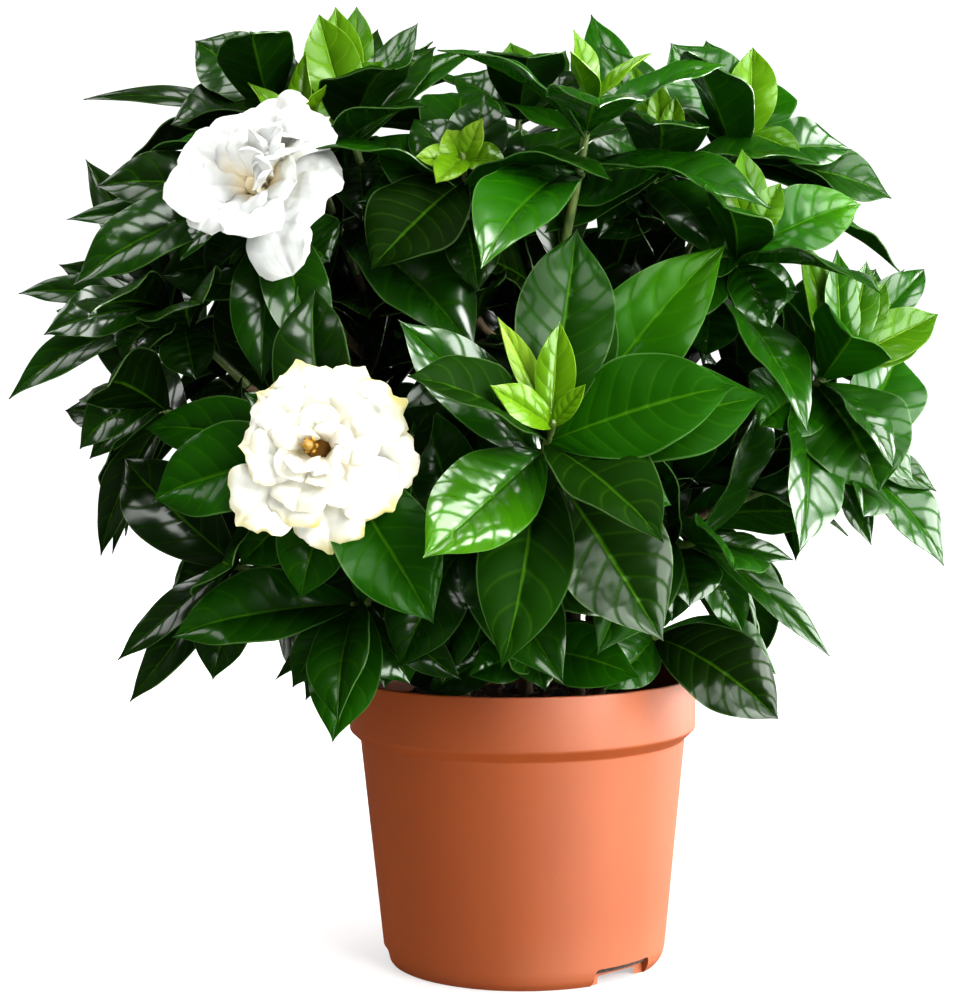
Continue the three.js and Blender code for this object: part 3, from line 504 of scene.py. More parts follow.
PETAL_FORM = BladeForm(rows=33, columns=17, peak=1.95, fullness=0.48, point=0.0, crown=0.08, pairs=0,
                       pleat=0.0, wave=0.16, waves=1.4, crumple=0.2, roll=0.26, wall=0.35, stalk=1.6,
                       ruffle=0.5)
POINTED_FORM = replace(PETAL_FORM, peak=1.6, fullness=0.62, point=0.6, wave=0.26, waves=2.2, ruffle=0.9)
SEPAL_FORM = BladeForm(rows=17, columns=5, peak=0.8, fullness=0.7, point=0.5, crown=0.1, pairs=0,
                       pleat=0.0, wave=0.05, waves=1.0, crumple=0.05, roll=0.0, wall=0.5, stalk=0.8)


@dataclass(frozen=True)
class Ring:
    """A ring of petals inside a bloom, in millimetres, that starts at an angle in degrees."""

    petals: int
    reach: float
    lift: float
    width: float
    start: float
    rise: float


@dataclass(frozen=True)
class Furl:
    """An inner petal: its tip, how far it is turned about its midrib in degrees, and its foot's rise."""

    tip: Leaf
    turn: float
    rise: float = 3.0


@dataclass(frozen=True)
class BloomPlan:
    """A bloom: its heart, the way it looks, its outer petals, its rings and its small inner petals.

    The cupping is how far the faces of the ringed petals lean inwards.
    """

    name: str
    heart: Spot
    looks: Vector
    outer: tuple[Leaf, ...]
    rings: tuple[Ring, ...]
    inner: tuple[Furl, ...]
    cupping: float
    form: BladeForm
    has_centre: bool


BLOOMS = (
    BloomPlan(
        "bloom_lower", Spot(318, 448, -122), Vector((-0.14, -1, 0.1)),
        outer=(
            Leaf(330, 556, -124, 26), Leaf(396, 511, -124, 22), Leaf(424, 472, -122, 24),
            Leaf(406, 398, -122, 26), Leaf(362, 366, -122, 24), Leaf(296, 361, -120, 24),
            Leaf(254, 392, -122, 22), Leaf(240, 446, -124, 24), Leaf(233, 526, -124, 26),
            Leaf(282, 528, -124, 22),
        ),
        rings=(Ring(6, 23, 8, 20, 12, 2.4), Ring(5, 14, 12, 13, 40, 3.4)),
        inner=(
            Furl(Leaf(338, 428, -138, 12), 20, 3.8), Furl(Leaf(330, 470, -138, 13), -15, 3.8),
            Furl(Leaf(296, 470, -138, 12), 15, 3.8), Furl(Leaf(290, 430, -137, 13), -20, 3.8),
            Furl(Leaf(312, 414, -137, 12), 10, 3.8),
        ),
        cupping=0.15,
        form=POINTED_FORM,
        has_centre=True,
    ),
    BloomPlan(
        "bloom_upper", Spot(256, 182, -88), Vector((-0.3, -0.82, 0.5)),
        outer=(
            Leaf(161, 190, -98, 27), Leaf(184, 146, -84, 22), Leaf(196, 222, -106, 26),
            Leaf(248, 234, -112, 24), Leaf(289, 270, -106, 24), Leaf(324, 212, -96, 24),
            Leaf(341, 160, -84, 26), Leaf(322, 112, -76, 24), Leaf(284, 91, -70, 22),
            Leaf(236, 112, -76, 22),
        ),
        rings=(Ring(5, 20, 9, 20, 20, 2.4),),
        inner=(
            Furl(Leaf(303, 97, -100, 22), -50), Furl(Leaf(270, 106, -102, 22), 40),
            Furl(Leaf(292, 112, -108, 18), -35), Furl(Leaf(246, 132, -108, 20), 50),
            Furl(Leaf(316, 134, -108, 20), -60), Furl(Leaf(278, 128, -114, 15), 25),
            Furl(Leaf(298, 144, -114, 15), -45), Furl(Leaf(258, 154, -114, 15), 55),
            Furl(Leaf(280, 152, -118, 12), -20), Furl(Leaf(268, 168, -119, 11), 35),
        ),
        cupping=0.45,
        form=PETAL_FORM,
        has_centre=False,
    ),
)
BLOOM_CORE_SINK = 5.0
PETAL_FOOT = 4.3
PETAL_STEP = 1.3


def draw(seed: int, pick: int) -> float:
    """A repeatable number from 0 to 1 for a seed and a draw."""
    wave = sin(seed * 12.9898 + pick * 78.233) * 43758.5453
    return wave - floor(wave)


def aside(way: Vector, level: Vector, angle: float) -> Vector:
    """The direction square to a way at an angle round it, counted from the one square to level too."""
    across = way.cross(level).normalized()
    return across * cos(angle) + way.cross(across) * sin(angle)


def far_shoots() -> list[Shoot]:
    """Places the shoots of the far side on their levels.

    Returns:
        The shoots, the highest level first.
    """
    made = []
    for level, plan in enumerate(FAR_LEVELS):
        for index in range(plan.count):
            seed = FirstSeed.FAR_SHOOT + level * LEVEL_SEEDS + index
            angle = radians(plan.first + plan.turn * index)
            out = plan.reach * (0.95 + 0.1 * draw(seed, Pick.REACH))
            tip = CROWN_AXIS + Vector((out * cos(angle), out * sin(angle), 0))
            tip.z = plan.height + FAR_SCATTER * (draw(seed, Pick.HEIGHT) - 0.5)
            trunk = Trunk.LEFT if tip.x < FAR_LEFT else Trunk.OUTER if tip.x > FAR_RIGHT else Trunk.MIDDLE
            made.append(Shoot(f"far_{level + 1}_{index + 1}", trunk, tip, FAR_TWIG, FAR_RULE_LEAVES,
                              ruled_young=plan.young, matte=plan.matte))
    return made


# ---- Blades -------------------------------------------------------------------------------------


@dataclass(frozen=True)
class Blade:
    """A leaf or petal on an arched midrib from base to tip, folded along that midrib; millimetres."""

    base: Vector
    tip: Vector
    face: Vector
    width: float
    arch: float
    fold: float
    marks: tuple[tuple[float, float], ...]
    seed: int = 0
    dull: float = 0.6
    # light is partly the leaf's own tone and partly painted light and shade for how it is lit.
    light: float = 0.0

    @property
    def along(self) -> Vector:
        """The way from base to tip."""
        return (self.tip - self.base).normalized()

    @property
    def out(self) -> Vector:
        """The way its upper side looks."""
        along = self.along
        return (self.face - along * self.face.dot(along)).normalized()

    @property
    def span(self) -> float:
        """The straight length from base to tip."""
        return (self.tip - self.base).length

    def place(self, share: float, sideways: float) -> Vector:
        """A point of its middle surface.

        Args:
            share: How far along the midrib it is, from 0 to 1.
            sideways: How far to the left of the midrib it is, in millimetres.

        Returns:
            The point in millimetres.
        """
        along, out = self.along, self.out
        left = out.cross(along)
        bend = radians(max(self.arch, 1))
        radius = self.span / (2 * sin(bend / 2))
        angle = bend * (share - 0.5)
        lift = abs(sideways) * sin(radians(self.fold))
        point = self.base + along * (radius * (sin(angle) + sin(bend / 2)))
        point += out * (radius * (cos(angle) - cos(bend / 2)))
        point += left * (sideways * cos(radians(self.fold)))
        return point + (out * cos(angle) + along * sin(angle)) * lift

    def corners(self) -> list[Vector]:
        """Works out the corners that the frame's plain blade has too.

        Returns:
            Its marks' corners on both sides and its tip, in millimetres.
        """
        sides = [self.place(share, side * part * self.width / 2)
                 for share, part in self.marks for side in (1, -1)]
        return [*sides, self.place(1, 0)]


LEAF_MARKS = ((0.24, 0.54), (0.5, 1.0), (0.79, 0.7))
PLAIN_MARKS = ((0.42, 0.98), (0.76, 0.76))
YOUNG_MARKS = ((0.4, 0.9), (0.75, 0.8))
PETAL_MARKS = ((0.66, 1.0), (0.93, 0.66))
SLIM_WIDTH = 29
LEAST_DULL = 0.3
# Per unit of a shoot's matte its ruled leaves are painted darker, as painted shade; a negative matte paints
# them lighter.
MATTE_PAINTED_SHADE = 0.4
LENGTH_SHARES = (1, 0.86, 0.72)
GOLDEN_TURN = 137.5
DEPTH_SHIFTS = (0, 6, -6, 12, -12, 18, 26)
TURN_SHIFTS = (0, 14, -14, 28, -28)
PITCH_SHIFTS = (0, 12, -12, 24)


@dataclass(frozen=True)
class Rule:
    """How a leaf without a place of its own stands on its shoot; degrees and millimetres."""

    along: float
    lean: float
    turn: float
    droop: float
    length: float
    width: float
    arch: float
    fold: float
    marks: tuple[tuple[float, float], ...]
    seed: int

    @classmethod
    def leaf(cls, seed: int, index: int) -> Rule:
        """The whorls of three on a shoot: larger, flatter leaves towards its foot.

        Args:
            seed: The leaf's seed.
            index: Its place on the shoot, counted from the tip.

        Returns:
            Its rule.
        """
        whorl = index // 3
        return cls(
            along=0.9 - 0.26 * whorl - 0.03 * (index % 3),
            lean=56 + 15 * whorl + 12 * (draw(seed, Pick.LEAN) - 0.5),
            turn=120 * (index % 3) + 60 * whorl + 36 * draw(seed, Pick.TURN)
            + GOLDEN_TURN * (seed // SHOOT_SEEDS),
            droop=0.1 + 0.12 * whorl,
            length=62 + 9 * whorl + 12 * draw(seed, Pick.LENGTH),
            width=30 + 3 * whorl + 5 * draw(seed, Pick.WIDTH),
            arch=22 + 26 * draw(seed, Pick.ARCH),
            fold=10 + 12 * draw(seed, Pick.FOLD),
            marks=PLAIN_MARKS,
            seed=seed,
        )

    @classmethod
    def young(cls, seed: int, index: int) -> Rule:
        """The young leaves of a growing tip that has none with a picture place.

        Args:
            seed: The leaf's seed.
            index: Its place on the tip, counted from the foot.

        Returns:
            Its rule.
        """
        return cls(
            along=0.5 + 0.1 * index,
            lean=30 + 8 * (index % 2) + 8 * draw(seed, Pick.LEAN),
            turn=GOLDEN_TURN * index + 40 * draw(seed, Pick.TURN),
            droop=0,
            length=26 + 9 * draw(seed, Pick.LENGTH),
            width=10 + 3 * draw(seed, Pick.WIDTH),
            arch=16,
            fold=18,
            marks=YOUNG_MARKS,
            seed=seed,
        )

    def blades(self, base: Vector, shoot: Shoot, face: Vector) -> Iterator[Blade]:
        """Bends a blade to the rule.

        Args:
            base: Its foot, in millimetres.
            shoot: The shoot that it grows on.
            face: The way that its upper side looks.

        Yields:
            Its blade, then the others that it may have been bent to.
        """
        grows = shoot.grows
        dull = LEAST_DULL + (1 - LEAST_DULL) * draw(self.seed, Pick.DULL) + shoot.matte
        # The matte paints these leaves darker, as painted shade.
        dull, light = min(max(dull, 0.0), 1.0), -MATTE_PAINTED_SHADE * shoot.matte
        level = Vector((0, 1, 0)) if abs(grows.z) > 0.9 else UP
        across = grows.cross(level).normalized()
        other = grows.cross(across)
        for share in LENGTH_SHARES:
            for pitch in PITCH_SHIFTS:
                for turn in TURN_SHIFTS:
                    lean, angle = radians(self.lean + pitch), radians(self.turn + turn)
                    way = grows * cos(lean) + across * (sin(lean) * cos(angle))
                    way += other * (sin(lean) * sin(angle)) - UP * self.droop
                    tip = base + way.normalized() * (self.length * share)
                    yield Blade(base, tip, face, self.width * share, self.arch, self.fold, self.marks,
                                self.seed, dull, light)


def aimed_blades(plan: Leaf, base: Vector, face: Vector, fold: float,
                 marks: tuple[tuple[float, float], ...], seed: int) -> Iterator[Blade]:
    """Bends a blade to a picture place.

    Args:
        plan: The leaf with its place.
        base: Its foot, in millimetres.
        face: The way that its upper side looks.
        fold: How far its halves are folded up, in degrees.
        marks: Its outline's corners: shares of its length and half width.
        seed: Its seed.

    Yields:
        Its blade, then the others that it may have been bent to.
    """
    for share in LENGTH_SHARES:
        for shift in DEPTH_SHIFTS:
            tip = base.lerp(plan.point(shift), share)
            yield Blade(base, tip, face, plan.width * share, plan.arch, fold, marks, seed,
                        plan.dull, plan.light)


class NodeCorners:
    """Finds which of some blades a node of the frame has, by the corners of its plain mesh.

    A corner is found within near millimetres, and a blade has at least the fewest corners in the node.
    """

    near = 0.05
    fewest = 3

    def __init__(self, node: str) -> None:
        """Reads the corners of a node's mesh.

        Args:
            node: The node's name.
        """
        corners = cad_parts[node].data.vertices
        self.tree = KDTree(len(corners))
        for index, corner in enumerate(corners):
            self.tree.insert(corner.co / MM, index)
        self.tree.balance()

    def found(self, blades: Iterable[Blade]) -> Blade | None:
        """Compares blades with the node.

        Args:
            blades: The blades, the likeliest first.

        Returns:
            The one with the most corners in the node, or None where none has enough.
        """
        best, most = None, self.fewest - 1
        for blade in blades:
            corners = blade.corners()
            hits = sum(self.tree.find(corner)[2] < self.near for corner in corners)
            if hits > most:
                best, most = blade, hits
            if hits == len(corners):
                break
        return best


# ---- Node trees ---------------------------------------------------------------------------------


class Term:
    """A number socket of a node tree. Python arithmetic on it adds Math nodes."""

    def __init__(self, bench: Bench, socket: Socket) -> None:
        """Wraps a socket of a bench's tree."""
        self.bench = bench
        self.socket = socket

    def _math(self, operation: str, *values: Term | float) -> Term:
        """A Math node on some values."""
        return self.bench.term("ShaderNodeMath", {"operation": operation}, dict(enumerate(values)))

    def __add__(self, other: Term | float) -> Term:
        """The sum."""
        return self._math("ADD", self, other)

    def __radd__(self, other: float) -> Term:
        """The sum, from the right."""
        return self._math("ADD", other, self)

    def __sub__(self, other: Term | float) -> Term:
        """The difference."""
        return self._math("SUBTRACT", self, other)

    def __rsub__(self, other: float) -> Term:
        """The difference, from the right."""
        return self._math("SUBTRACT", other, self)

    def __mul__(self, other: Term | float) -> Term:
        """The product."""
        return self._math("MULTIPLY", self, other)

    def __rmul__(self, other: float) -> Term:
        """The product, from the right."""
        return self._math("MULTIPLY", other, self)

    def __truediv__(self, other: Term | float) -> Term:
        """The quotient."""
        return self._math("DIVIDE", self, other)

    def __pow__(self, other: Term | float) -> Term:
        """The power."""
        return self._math("POWER", self, other)

    def sin(self) -> Term:
        """The sine."""
        return self._math("SINE", self)

    def cos(self) -> Term:
        """The cosine."""
        return self._math("COSINE", self)

    def size(self) -> Term:
        """The value without its sign."""
        return self._math("ABSOLUTE", self)

    def part(self) -> Term:
        """The part after the point."""
        return self._math("FRACT", self)

    def at_least(self, low: Term | float) -> Term:
        """The larger of it and low."""
        return self._math("MAXIMUM", self, low)

    def ramp(self, low: float, high: float) -> Term:
        """0 below low, 1 above high and smooth between them."""
        return self.bench.term("ShaderNodeMapRange", {"interpolation_type": "SMOOTHSTEP"},
                               {"Value": self, "From Min": low, "From Max": high})


Value = Term | Socket | float | int | Sequence[float] | str | Material
Inputs = dict[int | str, Value]


class Bench:
    """Adds nodes to a tree."""

    def __init__(self, tree: bpy.types.NodeTree) -> None:
        """Takes the tree to add to."""
        self.tree = tree

    def node(self, kind: str, settings: dict | None = None, inputs: Inputs | None = None) -> bpy.types.Node:
        """Adds a node.

        Args:
            kind: The node's type.
            settings: Its settings, which are set first; "stops" are a colour ramp's.
            inputs: The values or links of its sockets, by their place or name.

        Returns:
            The node.
        """
        made = self.tree.nodes.new(kind)
        for name, value in (settings or {}).items():
            if name == "stops":
                self._set_stops(made.color_ramp, value)
            else:
                setattr(made, name, value)
        for key, value in (inputs or {}).items():
            socket = made.inputs[key] if isinstance(key, int) else self._socket(made.inputs, key)
            if isinstance(value, Term):
                value = value.socket
            if isinstance(value, Socket):
                self.tree.links.new(value, socket)
            else:
                socket.default_value = value
        return made

    def term(self, kind: str, settings: dict | None = None, inputs: Inputs | None = None,
             output: int | str = 0) -> Term:
        """Adds a node and wraps one of its outputs as a number."""
        return Term(self, self.out(kind, settings, inputs, output))

    def out(self, kind: str, settings: dict | None = None, inputs: Inputs | None = None,
            output: int | str = 0) -> Socket:
        """Adds a node for one of its outputs.

        Args:
            kind: The node's type.
            settings: Its settings, which are set first.
            inputs: The values or links of its sockets, by their place or name.
            output: The output, by its place among the shown ones or its name.

        Returns:
            The output's socket.
        """
        made = self.node(kind, settings, inputs)
        if isinstance(output, int):
            return [socket for socket in made.outputs if socket.enabled][output]
        return self._socket(made.outputs, output)

    @staticmethod
    def _socket(sockets: Iterable[Socket], name: str) -> Socket:
        """The shown socket of a name."""
        return next(socket for socket in sockets if socket.name == name and socket.enabled)

    @staticmethod
    def _set_stops(ramp: bpy.types.ColorRamp, stops: Sequence[tuple[float, Sequence[float]]]) -> None:
        """Gives a colour ramp its stops.

        Args:
            ramp: The ramp.
            stops: The position and colour of each.
        """
        while len(ramp.elements) < len(stops):
            ramp.elements.new(1.0)
        for element, (position, color) in zip(ramp.elements, stops):
            element.position = position
            element.color = (*color, 1.0)

    def added(self, first: Value, second: Value) -> Socket:
        """The sum of two vectors."""
        return self.out("ShaderNodeVectorMath", {"operation": "ADD"}, {0: first, 1: second})

    def scaled(self, vector: Value, scale: Term | float) -> Socket:
        """A vector made longer or shorter."""
        return self.out("ShaderNodeVectorMath", {"operation": "SCALE"}, {0: vector, "Scale": scale})

    def combined(self, x: Value, y: Value = 0.0, z: Value = 0.0) -> Socket:
        """The vector of three numbers."""
        return self.out("ShaderNodeCombineXYZ", None, {0: x, 1: y, 2: z})

    def split(self, vector: Value) -> list[Term]:
        """The three numbers of a vector."""
        parts = self.node("ShaderNodeSeparateXYZ", None, {0: vector})
        return [Term(self, socket) for socket in parts.outputs]

    def noise(self, place: Value, scale: Value, detail: float = 3.0) -> Term:
        """Soft noise from 0 to 1 with features of about 1 / scale of the place's unit."""
        return self.term("ShaderNodeTexNoise", {"noise_dimensions": "3D"},
                         {"Vector": place, "Scale": scale, "Detail": detail}, "Fac")


class Tree(Bench):
    """A Geometry Nodes tree with named inputs, which makes plain meshes."""

    def __init__(self, name: str) -> None:
        """Starts a tree with one geometry input and output.

        Args:
            name: The tree's name.
        """
        super().__init__(bpy.data.node_groups.new(name, "GeometryNodeTree"))
        for way in ("INPUT", "OUTPUT"):
            self.tree.interface.new_socket(name="Geometry", in_out=way, socket_type="NodeSocketGeometry")
        self.entry = self.node("NodeGroupInput")
        self.exit = self.node("NodeGroupOutput")
        self.keys: dict[str, str] = {}

    @property
    def geometry(self) -> Socket:
        """The geometry that the tree is given."""
        return self.entry.outputs[0]

    def take(self, name: str, kind: str = "NodeSocketFloat") -> Socket:
        """Adds a named input.

        Args:
            name: The input's name.
            kind: Its socket's type.

        Returns:
            Its socket inside the tree.
        """
        made = self.tree.interface.new_socket(name=name, in_out="INPUT", socket_type=kind)
        self.keys[name] = made.identifier
        return next(socket for socket in self.entry.outputs if socket.identifier == made.identifier)

    def number(self, name: str) -> Term:
        """Adds a named number input."""
        return Term(self, self.take(name))

    def named(self, name: str) -> Term:
        """A number attribute."""
        return self.term("GeometryNodeInputNamedAttribute", {"data_type": "FLOAT"}, {"Name": name})

    def named_vector(self, name: str) -> Socket:
        """A vector attribute."""
        return self.out("GeometryNodeInputNamedAttribute", {"data_type": "FLOAT_VECTOR"}, {"Name": name})

    def store(self, geometry: Socket, name: str, value: Value,
              data_type: str = "FLOAT", domain: str = "POINT") -> Socket:
        """Stores an attribute on a geometry."""
        return self.out("GeometryNodeStoreNamedAttribute", {"data_type": data_type, "domain": domain},
                        {"Geometry": geometry, "Name": name, "Value": value})

    def close(self, geometry: Socket, material: Socket) -> None:
        """Ends the tree in Realize Instances and Set Material.

        Args:
            geometry: What the tree has made.
            material: The material to set.
        """
        real = self.out("GeometryNodeRealizeInstances", None, {"Geometry": geometry})
        done = self.out("GeometryNodeSetMaterial", None, {"Geometry": real, "Material": material})
        self.tree.links.new(done, self.exit.inputs[0])

    def make(self, source: Mesh, inputs: dict[str, Value], wall: float = 0.0) -> Mesh:
        """Runs the tree on a mesh.

        Args:
            source: The mesh that the tree is given; it is removed.
            inputs: The named inputs' values.
            wall: The thickness to give an open sheet, in metres.

        Returns:
            The result as a plain mesh.
        """
        holder = new_object("holder", source)
        modifier = holder.modifiers.new("tree", "NODES")
        modifier.node_group = self.tree
        for name, value in inputs.items():
            modifier[self.keys[name]] = value
        if wall:
            solid = holder.modifiers.new("wall", "SOLIDIFY")
            solid.thickness = wall
            solid.offset = 0.0
            solid.material_offset = 1
        return plain_mesh(holder)


VEIN_LEAN = 0.13
VEIN_SWEEP = 0.06
MERGE_DISTANCE = 0.02 * MM


class BladeTree(Tree):
    """Grows a leaf or petal from each point that carries its place and traits."""

    vectors = ("base", "along", "out", "left")
    numbers = ("radius", "bend", "rise", "reach", "half", "seed", "sway", "twist", "tone", "dull")

    def __init__(self) -> None:
        """Builds the tree: a grid on each point, bent to its blade's shape."""
        super().__init__("blades")
        grid = self.out("GeometryNodeMeshGrid", None, {
            "Size X": 1.0, "Size Y": 2.0,
            "Vertices X": self.take("Rows", "NodeSocketInt"),
            "Vertices Y": self.take("Columns", "NodeSocketInt"),
        })
        along, flank, _ = self.split(self.out("GeometryNodeInputPosition"))
        grid = self.store(grid, "share", along + 0.5)
        grid = self.store(grid, "side", flank * flank.size() ** 0.4)
        grown = self.out("GeometryNodeInstanceOnPoints", None, {"Points": self.geometry, "Instance": grid})
        grown = self.out("GeometryNodeRealizeInstances", None, {"Geometry": grown})
        grown = self.out("GeometryNodeSetPosition", None, {"Geometry": grown, "Position": self._place()})
        uv = self.combined(self.named("share"), self.named("side") * 0.5 + 0.5)
        grown = self.store(grown, "UVMap", uv, "FLOAT2", "CORNER")
        grown = self.out("GeometryNodeMergeByDistance", None, {"Geometry": grown, "Distance": MERGE_DISTANCE})
        grown = self.out("GeometryNodeSetShadeSmooth", None, {"Geometry": grown})
        self.close(grown, self.take("Material", "NodeSocketMaterial"))

    def _place(self) -> Socket:
        """Works out where a point of the grid goes.

        Returns:
            Its place.
        """
        share, side = self.named("share"), self.named("side")
        rim = side.size()
        half, seed = self.named("half"), self.named("seed")
        stretch = (share ** self.number("Peak") * pi).sin().at_least(0.0)
        fullness = self.number("Fullness") + self.number("Point") * share ** 4
        spread = stretch ** fullness
        torn = self.noise(self.combined(share * 1.5, side * spread * 1.6, seed * 23), 1.8, 2.0)
        ruffle = self.number("Ruffle") * (torn - 0.5)
        across = side * (half * spread + self.number("Stalk") * (1 - share))
        across = across * (ruffle * rim ** 2 * share + 1)
        lift = across.size() * self.named("rise") + self._relief(share, side, rim, spread, seed) * half
        lift = lift + across * share * self.named("twist")
        bend, radius = self.named("bend"), self.named("radius")
        angle = bend * (share - 0.5)
        forward = radius * (angle.sin() + (bend * 0.5).sin()) + lift * angle.sin()
        forward = forward + ruffle * half * share ** 5
        outward = radius * (angle.cos() - (bend * 0.5).cos()) + lift * angle.cos()
        sideways = across * self.named("reach") + self.named("sway") * (share * pi).sin() * share
        place = self.named_vector("base")
        for name, far in (("along", forward), ("out", outward), ("left", sideways)):
            place = self.added(place, self.scaled(self.named_vector(name), far))
        return place

    def _relief(self, share: Term, side: Term, rim: Term, spread: Term, seed: Term) -> Term:
        """Works out how far a point stands out of the plain blade.

        Args:
            share: How far along the midrib it is, from 0 to 1.
            side: How far from the midrib it is, from -1 to 1.
            rim: The same without its sign.
            spread: The blade's width there, as a share of its largest.
            seed: The blade's own number from 0 to 1.

        Returns:
            A share of the half width.
        """
        crown = self.number("Crown") * spread * (rim * pi).sin()
        vein = self.number("Pairs") * (share - rim * VEIN_LEAN - rim ** 3 * VEIN_SWEEP)
        pillow = (vein * pi).sin().size() ** 0.7 * spread * (rim * 6).size().ramp(0.0, 1.0)
        pleat = self.number("Pleat") * (seed * 1.2 + 0.4) * pillow * (1 - rim ** 5 * 0.7)
        phase = (self.number("Waves") * share + side * 0.3 + seed) * (2 * pi)
        wave = self.number("Wave") * rim ** 2 * phase.sin() * spread * share.ramp(0.1, 0.5)
        rough = self.noise(self.combined(share * 3.2, side * spread * 1.2, seed * 40), 1.3, 2.0)
        crumple = self.number("Crumple") * (rough - 0.5) * share.ramp(0.12, 0.6) * 2
        edge = share.ramp(0.72, 1.0).at_least(rim ** 6 * share.ramp(0.3, 0.8))
        return crown + pleat + wave + crumple - self.number("Roll") * edge ** 2

    def grow(self, blades: Sequence[Blade], form: BladeForm, upper: Material,
             under: Material, tone: float = 0.5) -> Part:
        """Makes the mesh of some blades.

        Args:
            blades: The blades, in millimetres.
            form: The shape of their kind.
            upper: The material of their upper side.
            under: The material of their underside.
            tone: How light they are, from 0 to 1.

        Returns:
            The part with both materials.
        """
        feet = bpy.data.meshes.new("feet")
        feet.from_pydata([blade.base * MM for blade in blades], [], [])
        for name in self.vectors:
            values = [number for blade in blades for number in self._vector_trait(blade, name)]
            feet.attributes.new(name, "FLOAT_VECTOR", "POINT").data.foreach_set("vector", values)
        traits = [self._number_traits(blade, tone) for blade in blades]
        for name in self.numbers:
            values = [trait[name] for trait in traits]
            feet.attributes.new(name, "FLOAT", "POINT").data.foreach_set("value", values)
        skins = (under, upper)  # a wall's second face is the one that looks out
        for material in skins:
            feet.materials.append(material)
        inputs = {
            "Rows": form.rows, "Columns": form.columns, "Peak": form.peak, "Fullness": form.fullness,
            "Point": form.point, "Stalk": form.stalk * MM, "Crown": form.crown, "Pairs": float(form.pairs),
            "Pleat": form.pleat, "Waves": form.waves, "Wave": form.wave, "Crumple": form.crumple,
            "Roll": form.roll, "Ruffle": form.ruffle, "Material": under,
        }
        return Part(self.make(feet, inputs, form.wall * MM), skins)

    @staticmethod
    def _vector_trait(blade: Blade, name: str) -> Vector:
        """Reads a direction or place of a blade.

        Args:
            blade: The blade, in millimetres.
            name: One of the tree's vectors.

        Returns:
            The vector; a place is in metres.
        """
        if name == "left":
            return blade.out.cross(blade.along)
        return blade.base * MM if name == "base" else getattr(blade, name)

    @staticmethod
    def _number_traits(blade: Blade, tone: float) -> dict[str, float]:
        """Works out the numbers of a blade.

        Args:
            blade: The blade, in millimetres.
            tone: How light its kind is, from 0 to 1.

        Returns:
            The tree's numbers by name, in metres and radians.
        """
        bend, fold = radians(max(blade.arch, 1)), radians(blade.fold)
        seed = blade.seed
        return {
            "radius": blade.span * MM / (2 * sin(bend / 2)),
            "bend": bend,
            "rise": sin(fold),
            "reach": cos(fold),
            "half": blade.width * MM / 2,
            "seed": draw(seed, Pick.PLEAT),
            "sway": blade.span * MM * 0.07 * (draw(seed, Pick.SWAY) - 0.5),
            "twist": 0.5 * (draw(seed, Pick.TWIST) - 0.5),
            # The tone adds the shoot's tone (painted shade by where it stands), the leaf's light and a random
            # part.
            "tone": max(tone + blade.light + 0.4 * (draw(seed, Pick.TONE) - 0.5), 0),
            "dull": blade.dull,
        }


class RodTree(Tree):
    """Lays a round rod of changing thickness along each path of edges."""

    def __init__(self) -> None:
        """Builds the tree: a circle swept along the paths, then roughened."""
        super().__init__("rods")
        curve = self.out("GeometryNodeMeshToCurve", None, {"Mesh": self.geometry})
        ring = self.out("GeometryNodeCurvePrimitiveCircle", {"mode": "RADIUS"},
                        {"Resolution": self.take("Sides", "NodeSocketInt"), "Radius": 1.0})
        rods = self.out("GeometryNodeCurveToMesh", None, {
            "Curve": curve, "Profile Curve": ring, "Scale": self.named("thick"), "Fill Caps": True,
        })
        rough = self.noise(self.out("GeometryNodeInputPosition"), self.take("Grain"), 2.0)
        push = self.scaled(self.out("GeometryNodeInputNormal"), (rough - 0.5) * self.number("Roughness"))
        rods = self.out("GeometryNodeSetPosition", None, {"Geometry": rods, "Offset": push})
        rods = self.out("GeometryNodeSetShadeSmooth", None, {"Geometry": rods})
        self.close(rods, self.take("Material", "NodeSocketMaterial"))

    def lay(self, paths: Sequence[Sequence[tuple[Vector, float]]], material: Material,
            sides: int = 10, roughness: float = 0.5, grain: float = 160.0) -> Part:
        """Makes the mesh of some rods.

        Args:
            paths: For each rod its points and radii, in millimetres.
            material: Their material.
            sides: How many sides they have.
            roughness: How uneven their skin is, in millimetres.
            grain: How fine that unevenness is, per metre.

        Returns:
            The part with its material.
        """
        points, edges, radii = [], [], []
        for path in paths:
            edges += [(len(points) + step, len(points) + step + 1) for step in range(len(path) - 1)]
            points += [point * MM for point, _ in path]
            radii += [radius * MM for _, radius in path]
        wires = bpy.data.meshes.new("wires")
        wires.from_pydata(points, edges, [])
        wires.attributes.new("thick", "FLOAT", "POINT").data.foreach_set("value", radii)
        inputs = {"Sides": sides, "Roughness": roughness * MM, "Grain": grain, "Material": material}
        return Part(self.make(wires, inputs), (material,))


